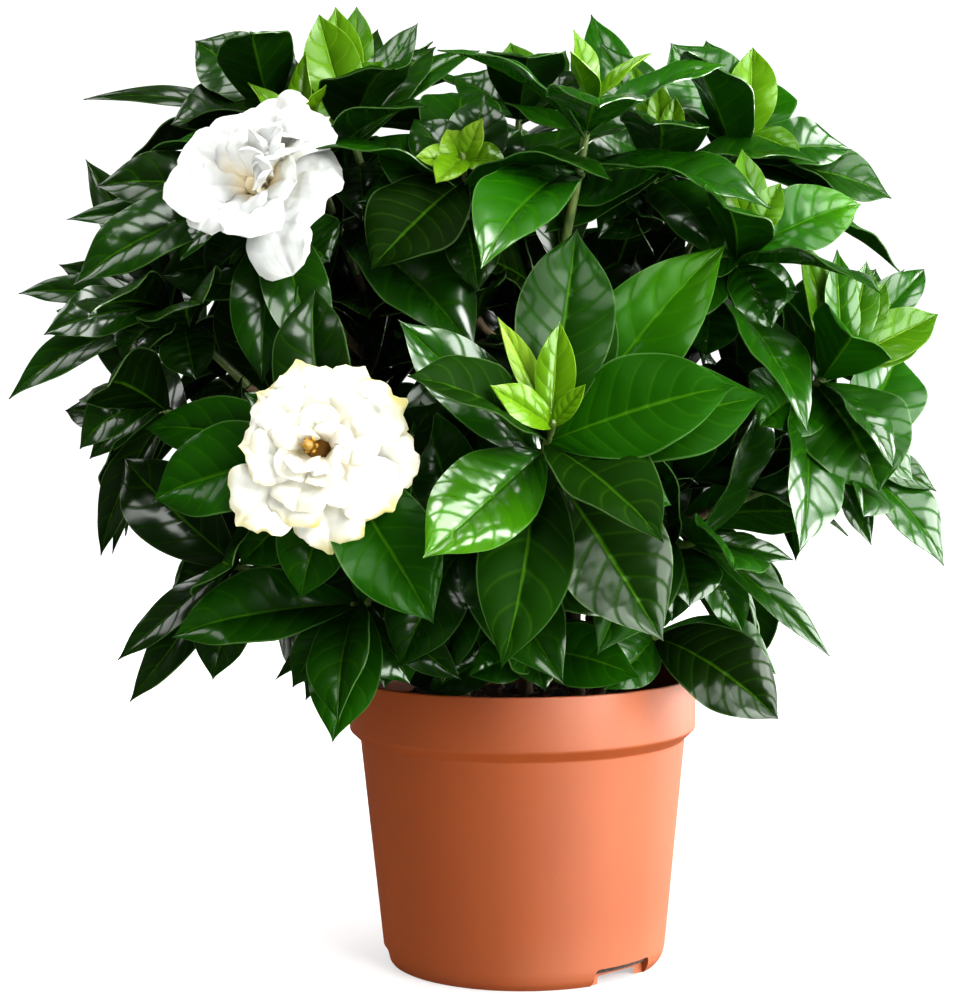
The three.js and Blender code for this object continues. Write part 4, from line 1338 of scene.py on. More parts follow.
class CrumbTree(Tree):
    """Scatters crumbs over the upward faces of a mesh."""

    steepest = 0.6  # of a face's normal that still points up
    width, height = 0.7, 0.45  # of a crumb, against its length

    def __init__(self) -> None:
        """Builds the tree: small faceted lumps on seeded points."""
        super().__init__("crumbs")
        seed = self.take("Seed", "NodeSocketInt")
        _, _, upward = self.split(self.out("GeometryNodeInputNormal"))
        chosen = self.out("FunctionNodeCompare", {"data_type": "FLOAT", "operation": "GREATER_THAN"},
                          {"A": upward, "B": self.steepest})
        spread = self.node("GeometryNodeDistributePointsOnFaces", {"distribute_method": "RANDOM"},
                           {"Mesh": self.geometry, "Selection": chosen,
                            "Density": self.take("Density"), "Seed": seed})
        lump = self.out("GeometryNodeMeshIcoSphere", None, {"Radius": 1.0, "Subdivisions": 1})
        size = self.term("FunctionNodeRandomValue", {"data_type": "FLOAT"},
                         {"Min": self.take("Smallest"), "Max": self.take("Largest"), "Seed": seed})
        squat = self.combined(size, size * self.width, size * self.height)
        turn = self.out("FunctionNodeRandomValue", {"data_type": "FLOAT_VECTOR"},
                        {"Min": (-0.5, -0.5, 0.0), "Max": (0.5, 0.5, 2 * pi), "Seed": seed})
        crumbs = self.out("GeometryNodeInstanceOnPoints", None, {
            "Points": spread.outputs["Points"], "Instance": lump, "Rotation": turn, "Scale": squat,
        })
        self.close(crumbs, self.take("Material", "NodeSocketMaterial"))

    def scatter(self, ground: Mesh, crumbs: Crumbs) -> Part:
        """Makes crumbs on a ground mesh, which stays.

        Args:
            ground: The mesh whose upward faces carry them.
            crumbs: Their number, sizes and finish.

        Returns:
            The part with its material.
        """
        material = crumbs.finish.material
        inputs = {"Density": crumbs.density, "Smallest": crumbs.smallest * MM,
                  "Largest": crumbs.largest * MM, "Seed": crumbs.seed, "Material": material}
        return Part(self.make(ground.copy(), inputs), (material,))


# ---- Finishes -----------------------------------------------------------------------------------

Color = tuple[float, float, float]


def srgb(red: int, green: int, blue: int) -> Color:
    """A colour as it looks on a screen, as the linear numbers that a shader needs."""
    return tuple(((v / 255 + 0.055) / 1.055) ** 2.4 if v > 10 else v / 255 / 12.92
                 for v in (red, green, blue))


class Shader(Bench):
    """A material's node tree with one Principled shader."""

    def __init__(self, name: str, **constants: float | Sequence[float]) -> None:
        """Starts a material.

        Args:
            name: The material's name.
            constants: What is the same all over, set on the shader's own sockets.
        """
        self.material = bpy.data.materials.new(name)
        self.material.use_nodes = True
        super().__init__(self.material.node_tree)
        self.tree.nodes.clear()
        self.surface = self.node("ShaderNodeBsdfPrincipled", None,
                                 {key.replace("_", " "): value for key, value in constants.items()})
        self.node("ShaderNodeOutputMaterial", None, {"Surface": self.surface.outputs[0]})

    def place(self, scale: Sequence[float] = (1, 1, 1)) -> Socket:
        """The point on the object, in metres, stretched by scale."""
        point = self.node("ShaderNodeTexCoord").outputs["Object"]
        return self.out("ShaderNodeMapping", None, {"Vector": point, "Scale": scale})

    def trait(self, name: str) -> Term:
        """A number that the mesh carries."""
        return self.term("ShaderNodeAttribute", {"attribute_type": "GEOMETRY", "attribute_name": name},
                         None, "Fac")

    def mix(self, share: Term | float, first: Value, second: Value) -> Socket:
        """Mixes two colours.

        Args:
            share: How much of the second there is, from 0 to 1.
            first: The first colour.
            second: The second colour.

        Returns:
            The colour between them.
        """
        first = (*first, 1.0) if isinstance(first, tuple) else first
        second = (*second, 1.0) if isinstance(second, tuple) else second
        return self.out("ShaderNodeMix", {"data_type": "RGBA", "blend_type": "MIX"},
                        {"Factor": share, "A": first, "B": second}, "Result")

    def feed(self, key: str, value: Value) -> None:
        """Links or sets an input of the shader.

        Args:
            key: The input's name.
            value: A link, a colour or a number.
        """
        value = value.socket if isinstance(value, Term) else value
        if isinstance(value, Socket):
            self.tree.links.new(value, self.surface.inputs[key])
        else:
            self.surface.inputs[key].default_value = (*value, 1.0) if isinstance(value, tuple) else value

    def finish(self, color: Value, roughness: Term | float, height: Term | None = None,
               strength: float = 1.0, distance: float = 0.5) -> Material:
        """Links the colour, the roughness and a bump.

        Args:
            color: The base colour.
            roughness: The roughness.
            height: The bump's height, from 0 to 1.
            strength: The bump's strength.
            distance: The height of 1, in millimetres.

        Returns:
            The material.
        """
        self.feed("Base Color", color)
        self.feed("Roughness", roughness)
        if height is not None:
            self.feed("Normal", self.out("ShaderNodeBump", None, {
                "Strength": strength, "Distance": distance * MM, "Height": height,
            }))
        return self.material


@dataclass(frozen=True)
class BladeFinish:
    """A leaf's skin: three greens by its tone, which carries painted shade, veins, midrib and a pale margin
    that is partly a painted highlight, and pillows between veins.

    Its gloss is a coat, which the veins and dull leaves go without.
    """

    name: str
    dark: Color
    light: Color
    fresh: Color
    vein: Color
    margin: Color
    pairs: float
    shine: float
    vein_strength: float
    relief: float

    def make(self) -> Material:
        """Makes the material.

        Returns:
            The material.
        """
        shader = Shader(self.name, IOR=1.46, Specular_IOR_Level=0.012, Coat_IOR=1.5, Coat_Roughness=0.19)
        share, rim = self.sides(shader)
        vein = self.pairs * (share - rim * VEIN_LEAN - rim ** 3 * VEIN_SWEEP)
        off_vein = ((vein + 0.5).part() - 0.5).size()
        line = (1 - off_vein.ramp(0.02, 0.11)) * (1 - rim.ramp(0.75, 0.98))
        midrib = 1 - rim.ramp(0.015, 0.06)
        margin = rim.ramp(0.95, 0.995)
        place = shader.place()
        blotch = shader.noise(place, 38.0)
        fine = shader.noise(place, 420.0)
        tone, dull = shader.trait("tone"), shader.trait("dull")
        # The tone carries painted shade: shoots to the left and the back, and the inner leaves, are painted
        # darker.
        green = shader.mix((tone * 0.85 + blotch * 0.3 - 0.08).ramp(0.0, 1.0), self.dark, self.light)
        green = shader.mix((tone - 1.3 + share * 0.7).ramp(0.0, 1.0), green, self.fresh)
        green = shader.mix(line * self.vein_strength, green, self.vein)
        green = shader.mix(midrib * min(self.vein_strength * 5, 1.0), green, self.vein)
        # A thin pale line at the margin: partly the leaf's own pale edge, partly a painted highlight.
        green = shader.mix(margin * 0.2, green, self.margin)
        pillow = (vein * pi).sin().size()
        height = pillow * 0.8 * (1 - rim ** 6) + blotch * 0.9 - midrib * 0.5 + fine * 0.02
        crease = (1 - off_vein.ramp(0.03, 0.17)).at_least(1 - rim.ramp(0.04, 0.12))
        shader.feed("Coat Weight", (1 - dull) * self.shine * (1 - crease * 0.85))
        return shader.finish(green, 0.45 + fine * 0.05 + blotch * 0.08, height, 1.0, self.relief)

    @staticmethod
    def sides(shader: Shader) -> tuple[Term, Term]:
        """Reads where on a blade a point is.

        Args:
            shader: The shader that reads it.

        Returns:
            How far along the midrib it is, and how near the margin, from 0 to 1.
        """
        share, flank, _ = shader.split(shader.out("ShaderNodeUVMap", {"uv_map": "UVMap"}))
        return share, (flank * 2 - 1).size()


@dataclass(frozen=True)
class PetalFinish:
    """A petal's skin: white, creamy towards its foot and its tip, with faint lengthwise lines. The creamy
    foot is partly the petal's own cream and partly painted shade deep in the bloom.
    """

    name: str
    white: Color
    foot: Color
    tip: Color
    tip_share: float

    def make(self) -> Material:
        """Makes the material.

        Returns:
            The material.
        """
        shader = Shader(self.name, IOR=1.4, Specular_IOR_Level=0.3, Subsurface_Weight=0.35,
                        Subsurface_Radius=(1.0, 0.9, 0.75), Subsurface_Scale=0.0025,
                        Sheen_Weight=0.15, Sheen_Roughness=0.5)
        share, rim = BladeFinish.sides(shader)
        place = shader.place()
        blotch = shader.noise(place, 60.0)
        fine = shader.noise(place, 500.0)
        tone = shader.trait("tone")
        # The cream at the foot is partly the petal's own and partly painted shade; a low tone takes it
        # further up.
        color = shader.mix(1 - (share * (tone + 0.5)).ramp(0.05, 0.45), self.white, self.foot)
        old = share.ramp(0.72, 1.0).at_least(rim.ramp(0.8, 1.0) * share.ramp(0.5, 0.8))
        color = shader.mix(old * (blotch * 1.4 - 0.2).ramp(0.0, 1.0) * self.tip_share * tone * 2,
                           color, self.tip)
        lines = (rim * 34 + blotch * 3).sin() * 0.5 + 0.5
        height = lines * 0.25 + fine * 0.25 + blotch
        return shader.finish(color, 0.5 + fine * 0.15, height, 0.5, 0.25)


@dataclass(frozen=True)
class SkinFinish:
    """Bark, twig skin or potting mix: two colours by noise, stretched by grain, with bumps."""

    name: str
    dark: Color
    light: Color
    grain: tuple[float, float, float]
    fine: float
    roughness: float
    relief: float

    def make(self) -> Material:
        """Makes the material.

        Returns:
            The material.
        """
        shader = Shader(self.name, Specular_IOR_Level=0.35)
        place = shader.place(self.grain)
        coarse = shader.noise(place, self.fine * 0.25)
        fine = shader.noise(place, self.fine, 4.0)
        color = shader.mix((coarse * 0.6 + fine * 0.8 - 0.2).ramp(0.1, 0.9), self.dark, self.light)
        return shader.finish(color, self.roughness + fine * 0.12, coarse * 0.5 + fine, 0.8, self.relief)


@dataclass(frozen=True)
class PotFinish:
    """Moulded plastic: an even colour with a faint satin texture, scuffs and dust towards the foot."""

    name: str
    color: Color
    shade: Color
    dust: Color
    roughness: float

    def make(self) -> Material:
        """Makes the material.

        Returns:
            The material.
        """
        shader = Shader(self.name, IOR=1.49, Specular_IOR_Level=0.32)
        place = shader.place()
        cloud = shader.noise(place, 14.0)
        streak = shader.noise(shader.place((1.0, 1.0, 0.12)), 90.0)
        satin = shader.noise(place, 1500.0, 2.0)
        _, _, up = shader.split(place)
        color = shader.mix((cloud * 0.7 + streak * 0.3).ramp(0.3, 0.75), self.color, self.shade)
        low = (1 - (up / MM).ramp(2.0, 30.0)) * cloud.ramp(0.4, 0.7)
        color = shader.mix(low * 0.25, color, self.dust)
        return shader.finish(color, self.roughness + cloud * 0.12 + streak * 0.06,
                             satin * 0.7 + streak * 0.3, 0.35, 0.12)


class Finish(Enum):
    """The finishes of the plant and its pot."""

    # Each leaf finish's fifth colour, its margin, is partly a pale edge and partly a painted highlight.
    LEAF = BladeFinish("leaf_upper", srgb(14, 34, 2), srgb(28, 84, 0), srgb(84, 146, 10),
                       srgb(90, 146, 24), srgb(130, 170, 100), 9, 1.0, 0.06, 0.35)
    PLAIN = BladeFinish("leaf_plain", srgb(14, 34, 2), srgb(28, 84, 0), srgb(84, 146, 10),
                        srgb(90, 146, 24), srgb(130, 170, 100), 7, 1.0, 0.06, 0.35)
    UNDER = BladeFinish("leaf_under", srgb(20, 42, 10), srgb(44, 84, 22), srgb(60, 100, 30),
                        srgb(100, 136, 62), srgb(120, 150, 90), 9, 0.05, 0.4, -0.5)
    YOUNG = BladeFinish("leaf_young", srgb(34, 86, 2), srgb(100, 144, 12), srgb(158, 184, 70),
                        srgb(140, 178, 66), srgb(170, 200, 96), 6, 0.4, 0.12, 0.4)
    YOUNG_UNDER = BladeFinish("leaf_young_under", srgb(66, 122, 24), srgb(116, 164, 44),
                              srgb(130, 176, 50), srgb(190, 214, 130), srgb(180, 204, 120),
                              6, 0.1, 0.35, -0.3)
    # This white is greyer than the lower bloom's: painted shade for the dimmer light on the upper bloom.
    PETAL = PetalFinish("petal_upper_bloom", srgb(205, 207, 203), srgb(238, 224, 190),
                        srgb(236, 234, 222), 0.3)
    CREAM_PETAL = PetalFinish("petal_lower_bloom", srgb(247, 245, 231), srgb(240, 230, 194),
                              srgb(218, 206, 128), 1.0)
    # The throat's golden brown is partly its own colour and partly painted shade in the bloom's open middle.
    THROAT = PetalFinish("petal_throat", srgb(238, 226, 188), srgb(170, 128, 56), srgb(170, 128, 56), 0.0)
    STIGMA = SkinFinish("stigma", srgb(110, 70, 0), srgb(188, 146, 14), (1, 1, 1), 700, 0.55, 0.3)
    BARK = SkinFinish("bark", srgb(70, 54, 34), srgb(142, 120, 82), (1, 1, 0.22), 420, 0.7, 0.8)
    TWIG = SkinFinish("green_twig", srgb(52, 76, 26), srgb(112, 132, 58), (1, 1, 0.4), 300, 0.5, 0.4)
    MIX = SkinFinish("potting_mix", srgb(16, 11, 8), srgb(62, 46, 34), (1, 1, 1), 380, 0.88, 1.6)
    CRUMB = SkinFinish("potting_crumb", srgb(28, 20, 15), srgb(96, 74, 54), (1, 1, 1), 500, 0.9, 0.5)
    POT = PotFinish("pot_plastic", srgb(148, 70, 14), srgb(141, 64, 11), srgb(164, 98, 60), 0.52)

    @property
    def material(self) -> Material:
        """Its material, which is made when it is first used."""
        return bpy.data.materials.get(self.value.name) or self.value.make()


# ---- Pieces -------------------------------------------------------------------------------------


@dataclass(frozen=True)
class Part:
    """A mesh and the materials that its faces' numbers stand for."""

    mesh: Mesh
    materials: tuple[Material, ...]


SHARP_TURN = radians(50)
SAME_PLACE = 1e-6
ROUNDING_SHARE = 0.48  # of an edge that a rounding may take


def joined(name: str, parts: Sequence[Part]) -> Mesh:
    """Joins parts into one mesh with all their materials.

    Args:
        name: The mesh's name.
        parts: The parts, whose own meshes are removed.

    Returns:
        The mesh.
    """
    materials = list(dict.fromkeys(material for part in parts for material in part.materials))
    whole = bmesh.new()
    for part in parts:
        first = len(whole.faces)
        whole.from_mesh(part.mesh)
        whole.faces.ensure_lookup_table()
        slots = [materials.index(material) for material in part.materials]
        for face in whole.faces[first:]:
            face.material_index = slots[min(face.material_index, len(slots) - 1)]
        bpy.data.meshes.remove(part.mesh)
    mesh = bpy.data.meshes.new(name)
    whole.to_mesh(mesh)
    whole.free()
    for material in materials:
        mesh.materials.append(material)
    mesh.set_sharp_from_angle(angle=SHARP_TURN)
    return mesh


def add_piece(name: str, parts: Sequence[Part], node: str) -> None:
    """Adds a piece that stands for a node of the frame.

    Args:
        name: Its name.
        parts: Its parts.
        node: The node that it replaces.
    """
    piece = new_object(name, joined(name, parts))
    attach(piece, BODY)
    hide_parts(node)
    LOG.info("%s: %d faces for %s", name, len(piece.data.polygons), node)


def turned(profile: Sequence[tuple[float, float]], sides: int) -> Mesh:
    """Turns a profile about the Z axis.

    Args:
        profile: Radius and height pairs from axis to axis, in millimetres.
        sides: How many sides it has.

    Returns:
        The closed mesh, in metres.
    """
    corners, rings, faces = [], [], []
    for radius, height in profile:
        around = sides if radius * MM > SAME_PLACE else 1
        turns = [2 * pi * side / sides for side in range(around)]
        rings.append([len(corners) + side % around for side in range(sides + 1)])
        corners += [(radius * cos(turn) * MM, radius * sin(turn) * MM, height * MM) for turn in turns]
    for lower, upper in zip(rings, rings[1:]):
        for side in range(sides):
            face = (lower[side], lower[side + 1], upper[side + 1], upper[side])
            faces.append(tuple(dict.fromkeys(face)))
    mesh = bpy.data.meshes.new("turned")
    mesh.from_pydata(corners, [], faces)
    mesh.shade_smooth()
    return mesh


def rounded(corners: Sequence[tuple[float, float, float]], steps: int = 4) -> list[tuple[float, float]]:
    """A profile with its corners rounded.

    Args:
        corners: Radius, height and how far from the corner its rounding starts, in millimetres.
        steps: How many faces a rounding has.

    Returns:
        Radius and height pairs.
    """
    profile: list[tuple[float, float]] = []
    for index, (radius, height, reach) in enumerate(corners):
        here = Vector((radius, height))
        if not reach:
            profile.append((radius, height))
            continue
        before, after = (Vector(corners[index + step][:2]) for step in (-1, 1))
        start = here + (before - here).normalized() * min(reach, (before - here).length * ROUNDING_SHARE)
        end = here + (after - here).normalized() * min(reach, (after - here).length * ROUNDING_SHARE)
        for step in range(steps + 1):
            share = step / steps
            point = start.lerp(here, share).lerp(here.lerp(end, share), share)
            profile.append((point.x, point.y))
    return profile


@dataclass
class Pot:
    """The moulded pot: a tapered body, a collar with a rolled edge and three notches in the foot.

    Its sizes are in millimetres, and the notches' turns to the right of the front in degrees.
    """

    height: float = 115.6
    rim_radius: float = 70.0
    collar_foot_radius: float = 69.8
    collar_straight: float = 21.3
    collar_height: float = 25.3
    body_top_radius: float = 65.5
    body_foot_radius: float = 57.0
    body_foot_height: float = 6.0
    foot_radius: float = 54.2
    foot_wall: float = 2.0
    foot_flare: float = 1.9
    foot_flare_height: float = 2.4
    wall: float = 1.4
    inner_rise: float = 0.8
    floor_underside: float = 3.0
    floor_top: float = 4.8
    boss_radius: float = 12.0
    edge: float = 0.5
    notch_height: float = 7.0
    notch_width: float = 30.0
    notch_depth: float = 12.0
    notch_below: float = 2.0
    notch_outside: float = 3.0
    notch_edge: float = 2.0
    notch_turns: tuple[float, ...] = (43, -88, 160)
    sides: int = 144

    def profile(self) -> list[tuple[float, float]]:
        """Works out its section.

        Returns:
            Radius and height pairs, from the axis under the floor round to the axis above it.
        """
        collar_foot = self.height - self.collar_straight
        body_top = self.height - self.collar_height
        foot_inside = self.foot_radius - self.foot_wall
        return rounded([
            (0, 0, 0), (self.boss_radius, 0, self.edge),
            (self.boss_radius, self.floor_underside, self.edge),
            (foot_inside, self.floor_underside, self.edge), (foot_inside, 0, 0.4),
            (self.foot_radius, 0, self.edge),
            (self.foot_radius + self.foot_flare, self.foot_flare_height, 1.2),
            (self.body_foot_radius, self.body_foot_height, 1.5),
            (self.body_top_radius, body_top, 0.7), (self.collar_foot_radius, collar_foot, 0.9),
            (self.rim_radius, self.height, 0.9), (self.rim_radius - self.wall, self.height, self.edge),
            (self.collar_foot_radius - self.wall, collar_foot + self.inner_rise, 1.2),
            (self.body_top_radius - self.wall, body_top + self.inner_rise, 1.2),
            (self.body_foot_radius - self.wall, self.floor_top, 3.0), (0, self.floor_top, 0),
        ])

    def build(self) -> None:
        """Makes the pot and cuts its notches."""
        holder = new_object("pot_blank", turned(self.profile(), self.sides))
        cutters = [self._notch(turn) for turn in self.notch_turns]
        for cutter in cutters:
            cut = holder.modifiers.new("notch", "BOOLEAN")
            cut.operation = "DIFFERENCE"
            cut.solver = "EXACT"
            cut.object = cutter
        mesh = plain_mesh(holder)
        for cutter in cutters:
            discard(cutter)
        add_piece("pot_shell", [Part(mesh, (Finish.POT.material,))], "pot")

    def _notch(self, turn: float) -> bpy.types.Object:
        """Makes the rounded block that cuts a notch.

        Args:
            turn: How far to the right of the front it is, in degrees.

        Returns:
            The block, which reaches out of the foot and below it.
        """
        block = bmesh.new()
        bmesh.ops.create_cube(block, size=1.0)
        size = Vector((self.notch_width, self.notch_depth, self.notch_height + self.notch_below)) * MM
        middle = (self.notch_height - self.notch_below) / 2
        centre = Vector((0, -self.foot_radius - self.notch_outside, middle)) * MM
        for corner in block.verts:
            corner.co = Vector(a * b for a, b in zip(corner.co, size)) + centre
        upper = [edge for edge in block.edges
                 if all(abs(v.co.z - self.notch_height * MM) < SAME_PLACE for v in edge.verts)
                 and abs(edge.verts[0].co.y - edge.verts[1].co.y) > SAME_PLACE]
        bmesh.ops.bevel(block, geom=upper, offset=self.notch_edge * MM, segments=4, affect="EDGES",
                        profile=0.5)
        block.transform(Matrix.Rotation(radians(turn), 4, "Z"))
        mesh = bpy.data.meshes.new("notch")
        block.to_mesh(mesh)
        block.free()
        return new_object("notch", mesh)


@dataclass(frozen=True)
class Crumbs:
    """Loose crumbs: how many on a square metre, the least and largest radius in millimetres, and a seed."""

    finish: Finish
    density: float
    smallest: float
    largest: float
    seed: int


@dataclass
class PottingMix:
    """The potting mix that fills the pot: a rough mound with loose crumbs on it, in millimetres."""

    pot: Pot
    tree: CrumbTree
    level: float = SOIL_LEVEL
    edge_drop: float = 2.5
    mound_drop: float = 1.2
    mound: float = 2.0
    lumps: float = 1.8
    lump_grain: float = 0.16
    sides: int = 120
    rings: int = 34
    crumbs: tuple[Crumbs, ...] = (
        Crumbs(Finish.CRUMB, 90000, 0.7, 2.6, 7), Crumbs(Finish.MIX, 160000, 0.4, 1.4, 8),
    )

    def build(self) -> None:
        """Makes the mix and its crumbs."""
        pot, inner = self.pot, self.pot.wall + GAP
        collar_foot = pot.height - pot.collar_straight
        edge = pot.collar_foot_radius - inner
        profile = [
            (0, pot.floor_top + GAP), (pot.body_foot_radius - inner, pot.floor_top + GAP),
            (pot.body_top_radius - inner, pot.height - pot.collar_height + 1),
            (edge, collar_foot + 1.1), (edge, self.level - self.edge_drop),
        ]
        for ring in range(self.rings):
            share = (ring + 1) / self.rings
            rise = self.mound * (1 - (1 - share) ** 2)
            profile.append((edge * (1 - share), self.level - self.mound_drop + rise))
        mesh = turned(profile, self.sides)
        for corner in mesh.vertices:
            if corner.co.z > (self.level - self.mound_drop - 0.1) * MM:
                rough = noise.fractal(corner.co / MM * self.lump_grain, 1.0, 2.0, 4)
                corner.co.z += min(max(rough, -1), 1) * self.lumps * MM
        ground = Part(mesh, (Finish.MIX.material,))
        add_piece("potting_mix", [ground, *(self.tree.scatter(mesh, layer) for layer in self.crumbs)],
                  "soil")


def bezier(points: Sequence[Vector], share: float) -> Vector:
    """Works out a point of a Bezier curve.

    Args:
        points: The curve's knots.
        share: How far along it the point is, from 0 to 1.

    Returns:
        The point.
    """
    while len(points) > 1:
        points = [a.lerp(b, share) for a, b in zip(points, points[1:])]
    return points[0]


@dataclass
class WoodyStem:
    """A woody stem in the mix, with a branch to each shoot that it carries, in millimetres."""

    trunk: Trunk
    shoots: Sequence[Shoot]
    rods: RodTree
    radius: float = 2.9
    top_radius: float = 2.2
    branch_radius: float = 1.9
    foot_swell: float = 1.15
    collar_height: float = 4.0
    steps: int = 26
    branch_steps: int = 14
    branch_drop: float = 8.0
    branch_pull: float = 0.4

    def path(self) -> list[Vector]:
        """Works out the trunk above the mix.

        Returns:
            Its points, from its foot up.
        """
        foot, bend, top = TRUNK_POINTS[self.trunk]
        collar = foot + UP * self.collar_height
        knots = [collar * 2 - bend, collar, bend, top, top * 2 - bend]
        points = []
        for first in (0, 1):
            a, b, c, d = knots[first:first + 4]
            for step in range(self.steps):
                points.append(catmull(a, b, c, d, step / self.steps))
        return [*points, top.copy()]

    def build(self) -> dict[str, list[Vector]]:
        """Makes the trunk and its branches.

        Returns:
            The branches' points by the name of their shoot.
        """
        foot, bend, top = TRUNK_POINTS[self.trunk]
        trunk = self.path()
        buried = [foot - UP * STEM_DEPTH, foot - UP * 10, foot]
        points = [*buried, *trunk]
        radii = [self.radius * self.foot_swell] * len(buried)
        radii += [self.radius + (self.top_radius - self.radius) * index / len(trunk)
                  for index in range(len(trunk))]
        branches = {shoot.name: self._branch(shoot, trunk, bend, top)
                    for shoot in self.shoots if shoot.trunk is self.trunk}
        paths = [list(zip(points, radii)), *branches.values()]
        part = self.rods.lay(paths, Finish.BARK.material, sides=12, roughness=1.3, grain=230.0)
        add_piece(f"wood_{self.trunk.value}", [part], f"stem_{self.trunk.value}")
        return {name: [point for point, _ in path] for name, path in branches.items()}

    def _branch(self, shoot: Shoot, trunk: Sequence[Vector], bend: Vector,
                top: Vector) -> list[tuple[Vector, float]]:
        """Works out a shoot's branch.

        Args:
            shoot: The shoot.
            trunk: The points of the trunk.
            bend: The trunk's bend.
            top: The trunk's top.

        Returns:
            Its points and radii, from the trunk to the shoot.
        """
        end = shoot.root - shoot.grows * GAP
        away = hypot(end.x - bend.x, end.y - bend.y)
        height = min(max(end.z - BRANCH_SLOPE * away - self.branch_drop, LOWEST_BRANCH), top.z - 2)
        start = next(point for point in [*trunk, top] if point.z >= height)
        pull = (end - start).length * self.branch_pull
        knots = [start, start + UP * pull, end - shoot.grows * pull, end]
        steps = self.branch_steps
        return [(bezier(knots, step / steps), self.branch_radius * (1.1 - 0.2 * step / steps))
                for step in range(steps + 1)]


def catmull(a: Vector, b: Vector, c: Vector, d: Vector, share: float) -> Vector:
    """Works out a point of the centripetal curve through four knots.

    Args:
        a: The knot before the stretch.
        b: The knot where it starts.
        c: The knot where it ends.
        d: The knot after it.
        share: How far along the stretch the point is, from 0 to 1.

    Returns:
        The point.
    """
    first, second, third = (max((q - p).length ** 0.5, 1e-4) for p, q in ((a, b), (b, c), (c, d)))
    start = ((b - a) / first - (c - a) / (first + second) + (c - b) / second) * second
    end = ((c - b) / second - (d - b) / (second + third) + (d - c) / third) * second
    cube = b * 2 - c * 2 + start + end
    square = c * 3 - b * 3 - start * 2 - end
    return cube * share ** 3 + square * share ** 2 + start * share + b


